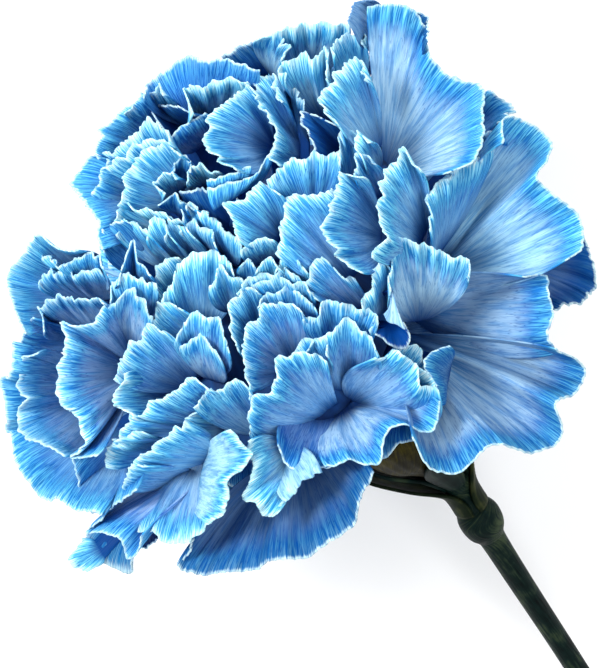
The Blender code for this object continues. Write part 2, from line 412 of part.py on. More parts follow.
def seen_point(place, reach):
    """The point that is seen at a place and lies so far from the bloom's middle."""
    depth = math.sqrt(max(0.0, reach ** 2 - place[0] ** 2 - place[1] ** 2))
    nearer = 1.0 - depth / EYE_DISTANCE
    return nearer * (place[0] * RIGHT + place[1] * UP) + depth * TOWARD


def seen_petals():
    """Foot, its half width, places of the rim, folds, depth, bow and front of each seen petal."""
    for name, foot_reach, rim_reach, foot, folds, depth, rim in SEEN_PETALS:
        half_width = foot[2] if len(foot) == 3 else FOOT_HALF_WIDTH
        places = [seen_point(place, place[2] if len(place) == 3 else rim_reach) for place in rim]
        bow = SIDE_BOWS.get(name, SIDE_BOW)
        yield seen_point(foot, foot_reach), half_width, places, folds, depth, bow, TOWARD


def uneven(change, i):
    """How much the petal of a number differs from the usual one."""
    return change[0] * math.sin(change[1] * i)


def far_petals():
    """The same for the petals of the far side."""
    for i in range(DOME_PETALS):
        polar = math.acos(1 - (i + 0.5) / DOME_PETALS * (1 - math.cos(DOME_EDGE)))
        turn = i * GOLDEN_ANGLE
        outward = ring_way(turn)
        way = math.cos(polar) * HEAD + math.sin(polar) * outward
        if way.dot(TOWARD) > FAR_SIDE:
            continue
        inner = max(0.0, polar - LEAN)
        foot_way = math.cos(inner) * HEAD + math.sin(inner) * outward
        tangent = unit(np.cross(HEAD, outward))
        tilt = uneven(UNEVEN_TILT, i)
        across = math.cos(tilt) * tangent + math.sin(tilt) * unit(np.cross(way, tangent))
        reach = DOME_RADIUS * (1.0 - uneven(UNEVEN_REACH, i))
        middle = reach * way
        ends = [FAR_PETAL_CORNERS * middle + s * FAR_PETAL_SPREAD * across for s in (-1, 1)]
        foot = FAR_PETAL_FOOT * reach * foot_way
        rim = [ends[0], middle, ends[1]]
        yield foot, FOOT_HALF_WIDTH, rim, FAR_FOLDS, FAR_FOLD_DEPTH, SIDE_BOW, HEAD


def guard_petals():
    """The same for the outermost ring."""
    for i in range(GUARD_PETALS):
        turn = 2 * math.pi * (i + uneven(UNEVEN_TURN, i)) / GUARD_PETALS
        polar = GUARD_FROM_HEAD + uneven(UNEVEN_RISE, i)
        outward = ring_way(turn)
        tangent = np.cross(HEAD, outward)
        way = math.cos(polar) * HEAD + math.sin(polar) * outward
        reach = GUARD_REACH - GUARD_REACH_TO_FAR_SIDE * way.dot(TOWARD) / math.sin(VIEW_TURN)
        reach += min(0.0, way.dot(UP)) * GUARD_REACH_LOST_LOW
        ends = [reach * (GUARD_CORNERS * way + s * GUARD_SPREAD * tangent) for s in (-1, 1)]
        foot = GUARD_FOOT * outward + HEAD
        rim = [ends[0], reach * way, ends[1]]
        yield foot, FOOT_HALF_WIDTH, rim, GUARD_FOLDS, GUARD_FOLD_DEPTH, SIDE_BOW, HEAD


def smooth_curve(places, count):
    """So many points on a smooth curve through the places."""
    places = np.array(places)
    steps = np.linalg.norm(np.diff(places, axis=0), axis=1)
    knots = np.concatenate(((0.0,), np.cumsum(steps)))
    slopes = np.gradient(places, knots, axis=0)
    distance = np.linspace(0.0, knots[-1], count)
    before = np.clip(np.searchsorted(knots, distance, side="right") - 1, 0, len(steps) - 1)
    step = steps[before][:, None]
    share = (distance - knots[before])[:, None] / step
    start, end = places[before], places[before + 1]
    start_slope, end_slope = slopes[before] * step, slopes[before + 1] * step
    rest = 1.0 - share
    return (rest ** 2 * ((1 + 2 * share) * start + share * start_slope)
            + share ** 2 * ((1 + 2 * rest) * end - rest * end_slope))


def petal_grid(foot, half_width, rim, folds, depth, bow, front, index, columns, rows):
    """The middle surface of a petal: its narrow claw, and a blade like a fan that is folded across."""
    side = unit(rim[-1] - rim[0])
    middle = np.mean(rim, axis=0)
    normal = unit(np.cross(side, middle - foot))
    if normal.dot(front) < 0:
        normal = -normal
    length = np.linalg.norm(middle - foot)
    out = unit(normal + TO_FRONT * front)
    root = ROOT_AHEAD * HEAD
    sunk = root + min(CLAW_END, SUNK_REACH / np.linalg.norm(foot - root)) * (foot - root)
    spread = np.linspace(-1, 1, columns + 1)
    lines = [[sunk + CLAW_WIDTH * u * FOOT_HALF_WIDTH * side for u in spread]]
    edge = smooth_curve(rim, columns + 1)
    for t in np.linspace(0, 1, rows + 1):
        line = []
        for u, end in zip(spread, edge):
            start = foot + u * half_width * side
            run = end - start
            sideways = np.cross(normal, run)
            if sideways.dot(side) < 0:
                sideways = -sideways
            arch = 4 * t * (1 - t)
            bulge = bow[0 if u < 0 else 1] * arch * u * abs(u)
            fold = depth * t ** FOLD_GROWTH * math.sin(math.pi * folds * u + FOLD_SHIFT * index)
            line.append(start + t * run + bulge * sideways + (fold + ARCH * length * arch) * out)
        lines.append(line)
    return np.array(lines)


def press_down(grid):
    """Petals that would reach below the surface are pressed back to it."""
    height = grid[:, :, 2] + BLOOM_MIDDLE[2]
    pressed = PRESSED_TO + PRESS_SOFTNESS * np.logaddexp(0.0, (height - PRESSED_TO) / PRESS_SOFTNESS)
    grid[:, :, 2] = pressed - BLOOM_MIDDLE[2]
    return grid


def grid_normals(grid):
    along = np.gradient(grid, axis=0)
    across = np.gradient(grid, axis=1)
    normals = np.cross(across, along)
    return normals / np.linalg.norm(normals, axis=2, keepdims=True)


def petal_mesh(grid, name, thickness=PETAL_THICKNESS):
    """A closed blade round a middle surface, split into the same triangles on both faces."""
    rows, columns = grid.shape[:2]
    offset = grid_normals(grid) * thickness / 2
    points = np.concatenate(((grid + offset).reshape(-1, 3), (grid - offset).reshape(-1, 3)))
    back = rows * columns
    faces = []
    for r in range(rows - 1):
        for c in range(columns - 1):
            a, b = r * columns + c, r * columns + c + 1
            d, e = a + columns, b + columns
            for face in ((a, b, e), (a, e, d)):
                faces.append(face)
                faces.append(tuple(back + i for i in reversed(face)))
    border = [c for c in range(columns)]
    border += [r * columns + columns - 1 for r in range(1, rows)]
    border += [(rows - 1) * columns + c for c in range(columns - 2, -1, -1)]
    border += [r * columns for r in range(rows - 2, 0, -1)]
    for i, a in enumerate(border):
        b = border[(i + 1) % len(border)]
        faces.append((b, a, back + a))
        faces.append((b, back + a, back + b))
    return solid(name, points + BLOOM_MIDDLE, faces)


def solid(name, points, faces):
    """An object from points in mm and faces, with its faces turned outward."""
    mesh = bpy.data.meshes.new(name)
    mesh.from_pydata([tuple(p * MM) for p in np.asarray(points)], [], faces)
    bm = bmesh.new()
    bm.from_mesh(mesh)
    bmesh.ops.recalc_face_normals(bm, faces=bm.faces)
    if bm.calc_volume(signed=True) < 0:
        bmesh.ops.reverse_faces(bm, faces=bm.faces)
    bm.to_mesh(mesh)
    bm.free()
    return bpy.data.objects.new(name, mesh)


def ring_points(centre, axis, radius, sides, turn=0.0):
    first = unit(np.cross(axis, (0.3, 0.2, 1.0)))
    second = np.cross(axis, first)
    angles = [turn + 2 * math.pi * i / sides for i in range(sides)]
    return [centre + radius * (math.cos(a) * first + math.sin(a) * second) for a in angles]


def turned(name, axis, profile, sides):
    """A closed solid turned round an axis from (distance along it, radius) pairs, flat at both ends."""
    points = []
    for along, radius in profile:
        points += ring_points(along * axis, axis, radius, sides)
    faces = []
    for k in range(len(profile) - 1):
        for i in range(sides):
            j = (i + 1) % sides
            faces.append((k * sides + i, k * sides + j, (k + 1) * sides + j, (k + 1) * sides + i))
    faces.append(tuple(range(sides)))
    faces.append(tuple((len(profile) - 1) * sides + i for i in range(sides)))
    return solid(name, np.array(points) + BLOOM_MIDDLE, faces)


def material(name, colour, roughness):
    surface = bpy.data.materials.new(name)
    surface.use_nodes = True
    shader = surface.node_tree.nodes["Principled BSDF"]
    shader.inputs["Base Color"].default_value = (*colour, 1.0)
    shader.inputs["Roughness"].default_value = roughness
    shader.inputs["Metallic"].default_value = 0.0
    return surface


def calyx_radius(behind):
    """The calyx's outer radius at a distance behind the bloom's middle."""
    distances = [d for d, _ in reversed(CALYX_OUTSIDE)]
    radii = [r for _, r in reversed(CALYX_OUTSIDE)]
    return float(np.interp(behind, distances, radii))


def core():
    """The crowded middle that the petals stand out of, with the neck that fills the calyx."""
    neck = [(-behind, calyx_radius(behind) - CALYX_WALL - GAP) for behind in (22.0, 15.0, 6.0)]
    body = turned("core", HEAD, [*neck, *CORE_PROFILE], CORE_SIDES)
    dent_way = unit(sum(share * axis for share, axis in zip(DENT_WAY, (RIGHT, UP, TOWARD))))
    for vertex in body.data.vertices:
        place = np.array(vertex.co) / MM - BLOOM_MIDDLE
        if place.dot(HEAD) > CORE_PROFILE[0][0] + 0.1:
            faced = max(0.0, unit(place).dot(dent_way))
            vertex.co = (BLOOM_MIDDLE + (1.0 - DENT_DEPTH * faced ** 3) * place) * MM
    return body


def keep_main_body(mesh):
    """Keeps the largest body and fills the hollows that fusing sealed."""
    bm = bmesh.new()
    bm.from_mesh(mesh)
    unseen = set(bm.verts)
    bodies = []
    while unseen:
        todo = [unseen.pop()]
        body = set(todo)
        while todo:
            for edge in todo.pop().link_edges:
                for vert in edge.verts:
                    if vert not in body:
                        body.add(vert)
                        todo.append(vert)
        unseen -= body
        bodies.append(body)
    bodies.sort(key=len, reverse=True)
    loose = [vert for body in bodies[1:] for vert in body]
    bmesh.ops.delete(bm, geom=loose, context="VERTS")
    bm.to_mesh(mesh)
    bm.free()


def fuse(target, others, operation="UNION"):
    """One Boolean joins the others to the target, or cuts them from it, and is applied."""
    collection = bpy.data.collections.new("to_fuse")
    bpy.context.scene.collection.children.link(collection)
    for item in others:
        collection.objects.link(item)
    change = target.modifiers.new(operation, "BOOLEAN")
    change.operation = operation
    change.operand_type = "COLLECTION"
    change.collection = collection
    change.solver = "MANIFOLD"
    depsgraph = bpy.context.evaluated_depsgraph_get()
    mesh = bpy.data.meshes.new_from_object(target.evaluated_get(depsgraph), depsgraph=depsgraph)
    target.modifiers.remove(change)
    target.data = mesh
    for item in others:
        bpy.data.objects.remove(item)
    bpy.data.collections.remove(collection)


def floor_block():
    """All that lies below the surface, which flattens what the flower lies on."""
    points = [(x, y, z) for x in (-BLOCK_WIDTH, BLOCK_WIDTH) for y in (-BLOCK_WIDTH, BLOCK_WIDTH)
              for z in (-BLOCK_DEPTH, 0.0)]
    faces = [(0, 1, 3, 2), (4, 6, 7, 5), (0, 4, 5, 1), (2, 3, 7, 6), (0, 2, 6, 4), (1, 5, 7, 3)]
    return solid("floor_block", np.array(points), faces)


def link(item):
    bpy.context.scene.collection.objects.link(item)
    return item


def size(foot, rim):
    """How long a petal's rim and its blade are."""
    steps = np.linalg.norm(np.diff(np.array(rim), axis=0), axis=1)
    return steps.sum(), np.linalg.norm(np.mean(rim, axis=0) - foot)


def detail(foot, rim):
    """Columns and rows of a petal, by its size."""
    width, length = size(foot, rim)
    columns = int(min(MOST_COLUMNS, max(2, round(width / COLUMN_WIDTH))))
    return columns, (1 if length < ONE_ROW_LENGTH else 2)


def bloom():
    body = link(core())
    body.name = "bloom"
    petals = []
    for index, petal in enumerate([*seen_petals(), *far_petals(), *guard_petals()]):
        foot, _, rim = petal[:3]
        if math.prod(size(foot, rim)) < SMALLEST_PETAL:
            continue
        grid = press_down(petal_grid(*petal, index, *detail(foot, rim)))
        petals.append(petal_mesh(grid, f"petal_{index}"))
    fuse(body, petals)
    fuse(body, [floor_block()], "DIFFERENCE")
    keep_main_body(body.data)
    body.data.materials.clear()
    body.data.materials.append(material("petal_blue", (0.10, 0.36, 0.80), 0.6))
    return body


def calyx():
    """The tube of the calyx: its outside up to the teeth, then its inside down to its floor."""
    rows = [(behind, radius) for behind, radius in CALYX_OUTSIDE]
    inside = [(behind, radius - CALYX_WALL) for behind, radius in reversed(CALYX_OUTSIDE)
              if behind <= CALYX_FLOOR]
    points = []
    mouth = CALYX_OUTSIDE[-1]
    tooth_rows = [mouth + (0.5,), mouth + (1.0,), (mouth[0], mouth[1] - 0.5, 1.0),
                  (mouth[0], mouth[1] - CALYX_WALL, 0.5)]
    for row in [*[r + (0.0,) for r in rows], *tooth_rows, *[r + (0.0,) for r in inside]]:
        behind, radius, share = row
        for i in range(CALYX_SIDES):
            place = (i * TEETH / CALYX_SIDES) % 1.0
            rise = share * TOOTH_LENGTH * (1.0 - abs(2.0 * place - 1.0)) ** 1.1
            out = radius + rise * math.sin(TOOTH_SPLAY)
            angle = 2 * math.pi * i / CALYX_SIDES
            points.append((rise * math.cos(TOOTH_SPLAY) - behind) * HEAD + out * ring_way(angle))
    count = len(points) // CALYX_SIDES
    faces = []
    for k in range(count - 1):
        for i in range(CALYX_SIDES):
            j = (i + 1) % CALYX_SIDES
            a, b = k * CALYX_SIDES + i, k * CALYX_SIDES + j
            faces.append((a, b, b + CALYX_SIDES))
            faces.append((a, b + CALYX_SIDES, a + CALYX_SIDES))
    faces.append(tuple(range(CALYX_SIDES)))
    faces.append(tuple((count - 1) * CALYX_SIDES + i for i in range(CALYX_SIDES)))
    body = link(solid("calyx", np.array(points) + BLOOM_MIDDLE, faces))
    body.data.materials.append(material("calyx_green", (0.10, 0.14, 0.05), 0.5))
    return body


def blade(grid, thickness, name):
    """A closed thin body round a middle surface that is given as rows of points."""
    return petal_mesh(np.array(grid), name, thickness)


def bract(number):
    """One scale at the calyx's foot, wide where it grows and pointed at its tip."""
    left = LEAF_WAY[0] * RIGHT + LEAF_WAY[1] * UP
    turn = math.atan2(left.dot(HEAD_FRONT), left.dot(HEAD_SIDE)) + number * math.pi / 2
    lift = GAP + BRACT_THICKNESS / 2 + 0.05
    grid = []
    for t, share in ((-0.1, 0.6), (0.0, 0.8), (0.2, 1.0), (0.45, 0.95), (0.75, 0.6), (1.0, 0.15)):
        behind = 30.2 + (BRACT_TIP - 30.2) * t
        radius = calyx_radius(behind) + lift + BRACT_SPLAYS[number] * max(0.0, t) ** 1.5
        if t < 0:
            radius = 1.7
        row = []
        for u in (-1.0, -0.5, 0.0, 0.5, 1.0):
            angle = turn + u * share * BRACT_HALF_ANGLE
            row.append(radius * ring_way(angle) - behind * HEAD)
        grid.append(row)
    return blade(grid, BRACT_THICKNESS, f"bract_{number}")


def stem():
    """The stem from the calyx to its slanting cut end, with the swollen joint near its top."""
    top = -CALYX_OUTSIDE[0][0] * HEAD
    points = []
    for k, (distance, radius) in enumerate([*STEM_PROFILE, (STEM_END, STEM_PROFILE[-1][1])]):
        axis = HEAD if k < 2 else STEM_WAY
        centre = top - distance * (HEAD if k < 1 else STEM_WAY)
        ring = ring_points(centre, axis, radius, STEM_SIDES)
        if distance == STEM_END:
            ring = [p - STEM_CUT * (centre - p)[2] * STEM_WAY for p in ring]
        points += ring
    count = len(points) // STEM_SIDES
    faces = []
    for k in range(count - 1):
        for i in range(STEM_SIDES):
            j = (i + 1) % STEM_SIDES
            a, b = k * STEM_SIDES + i, k * STEM_SIDES + j
            faces.append((a, b, b + STEM_SIDES, a + STEM_SIDES))
    faces.append(tuple(range(STEM_SIDES)))
    faces.append(tuple((count - 1) * STEM_SIDES + i for i in range(STEM_SIDES)))
    body = link(solid("stem", np.array(points) + BLOOM_MIDDLE, faces))
    fuse(body, [bract(number) for number in range(4)])
    fuse(body, [floor_block()], "DIFFERENCE")
    keep_main_body(body.data)
    body.data.materials.clear()
    body.data.materials.append(material("stem_green", (0.06, 0.09, 0.05), 0.5))
    return body


def leaf(name, rows, sign):
    """A narrow leaf whose foot clasps the stem above the swelling."""
    top = -CALYX_OUTSIDE[0][0] * HEAD
    out = sign * (LEAF_WAY[0] * RIGHT + LEAF_WAY[1] * UP)
    out = unit(out - out.dot(STEM_WAY) * STEM_WAY)
    across = np.cross(STEM_WAY, out)
    line = np.array([top - distance * STEM_WAY + away * out for distance, away, _, _ in rows])
    ways = np.gradient(line, axis=0)
    grid = []
    for place, way, (_, _, curl, half_angle) in zip(line, ways, rows):
        normal = unit(np.cross(across, unit(way)))
        if normal.dot(out) < 0:
            normal = -normal
        row = []
        for u in np.linspace(-1, 1, 7):
            angle = math.radians(half_angle) * u
            row.append(place + curl * ((math.cos(angle) - 1) * normal + math.sin(angle) * across))
        grid.append(row)
    body = link(blade(grid, LEAF_THICKNESS, name))
    body.data.materials.append(material(name + "_green", (0.07, 0.10, 0.05), 0.5))
    return body


def main():
    for item in list(bpy.data.objects):
        bpy.data.objects.remove(item)
    bloom()
    calyx()
    stem()
    leaf("leaf_left", LEFT_LEAF, 1)
    leaf("leaf_right", RIGHT_LEAF, -1)


main()
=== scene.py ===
"""Looks of the cut carnation: its petals, calyx, stem and leaves, with the floor, lights and camera."""

import math

import bpy
import numpy as np
from mathutils import Matrix, Vector


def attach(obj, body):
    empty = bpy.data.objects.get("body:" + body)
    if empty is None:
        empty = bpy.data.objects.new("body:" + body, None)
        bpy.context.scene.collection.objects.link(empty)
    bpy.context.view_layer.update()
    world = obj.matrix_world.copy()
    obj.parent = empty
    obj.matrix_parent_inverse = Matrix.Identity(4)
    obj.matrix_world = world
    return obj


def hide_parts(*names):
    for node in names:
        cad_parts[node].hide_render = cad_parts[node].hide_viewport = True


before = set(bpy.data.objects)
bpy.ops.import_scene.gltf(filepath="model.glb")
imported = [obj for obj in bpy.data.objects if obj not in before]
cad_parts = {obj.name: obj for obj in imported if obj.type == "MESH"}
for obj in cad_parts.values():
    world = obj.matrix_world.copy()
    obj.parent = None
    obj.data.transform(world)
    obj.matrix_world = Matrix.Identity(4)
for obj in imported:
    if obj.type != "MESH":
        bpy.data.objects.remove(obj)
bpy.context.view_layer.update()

MM = 0.001

# The same flower as the solids: where it lies, which way its bloom faces and how it is looked at
BLOOM_MIDDLE = np.array((-0.8, -25.9, 35.0))
HEAD_RISE = math.radians(20.0)
HEAD = np.array((0.0, -math.cos(HEAD_RISE), math.sin(HEAD_RISE)))
VIEW_TURN = math.radians(52.5)
VIEW_ROLL = math.radians(134.0)
EYE_DISTANCE = 750.0

# The photograph: its size, where the bloom's middle is in it, and the size of one of its pixels
PICTURE_WIDTH, PICTURE_HEIGHT = 597, 668
MIDDLE_PIXEL = (331.0, 350.0)
PIXEL_SIZE = 0.132
SENSOR_WIDTH = 36.0

# How a petal runs, in mm and shares: half the width of its foot; how far ahead of the bloom's middle the
# claws come together, how far from there they start, how narrow they are there and where their rows lie;
# how much the blade arches and its folds lean to the front; and how it is pressed back to the floor
FOOT_HALF_WIDTH = 1.4
ROOT_AHEAD = 7.0
SUNK_REACH, MOST_SUNK = 13.0, 0.8
CLAW_WIDTH, CLAW_ROWS = 0.7, (0.0, 0.35, 0.7)
FOOT_ROW = len(CLAW_ROWS)
ARCH = 0.065
TO_FRONT = 1.5
PRESSED_TO = 0.2
PRESS_SOFTNESS = 0.5

# The core: places along the head's axis with the radius there, and the dent in its right side
CORE_PROFILE = ((-22.0, 3.6), (-15.0, 6.6), (-6.0, 7.5), (-3.5, 7.6), (2.4, 10.0), (3.8, 15.0), (6.0, 21.0),
                (10.5, 25.0), (17.0, 21.5), (23.0, 14.0), (26.5, 5.5), (27.0, 0.5))
DENT_WAY = (0.80, -0.05, 0.60)
DENT_DEPTH, DENT_FROM = 0.5, -3.4
CORE_SIDES, LEAST_CORE_RADIUS = 72, 0.3

# Petals, in mm: how thick, how finely meshed, and the waves, teeth and curl of the rim
PETAL_THICKNESS = 0.2
COLUMN_STEP, ROW_STEP = 0.22, 0.55
FAR_COLUMN_STEP, FAR_ROW_STEP = 0.6, 1.3
FEWEST_COLUMNS, FEWEST_ROWS = 14, 10
TOOTH_SPACING, TOOTH_DEPTH, TOOTH_ZONE = 0.6, 0.5, 1.6
FRINGE_SPACING, FRINGE_DEPTH = 0.26, 0.2
LOBE_SPACING, LOBE_DEPTH = 2.0, 0.25
RUFFLE_SPACING, RUFFLE_DEPTH = 1.6, 0.9
RIPPLE_SPACING, RIPPLE_DEPTH = 0.7, 0.22
CURL_ZONE, CURL_DEPTHS = 3.0, (0.1, 1.1)

# How fast teeth, lobes, folds, ruffles and ripples grow toward the rim, how rows crowd toward it, how
# the folds shift from one petal to the next, and the seeds of each petal's waves and colours
TOOTH_GROWTH, LOBE_GROWTH, FOLD_GROWTH, RUFFLE_GROWTH, RIPPLE_GROWTH = 1.5, 2, 1.4, 2.5, 4
ROW_CROWDING = 1.3
FOLD_SHIFT = 1.9
WAVE_SEED, LOOK_SEED = 500, 900

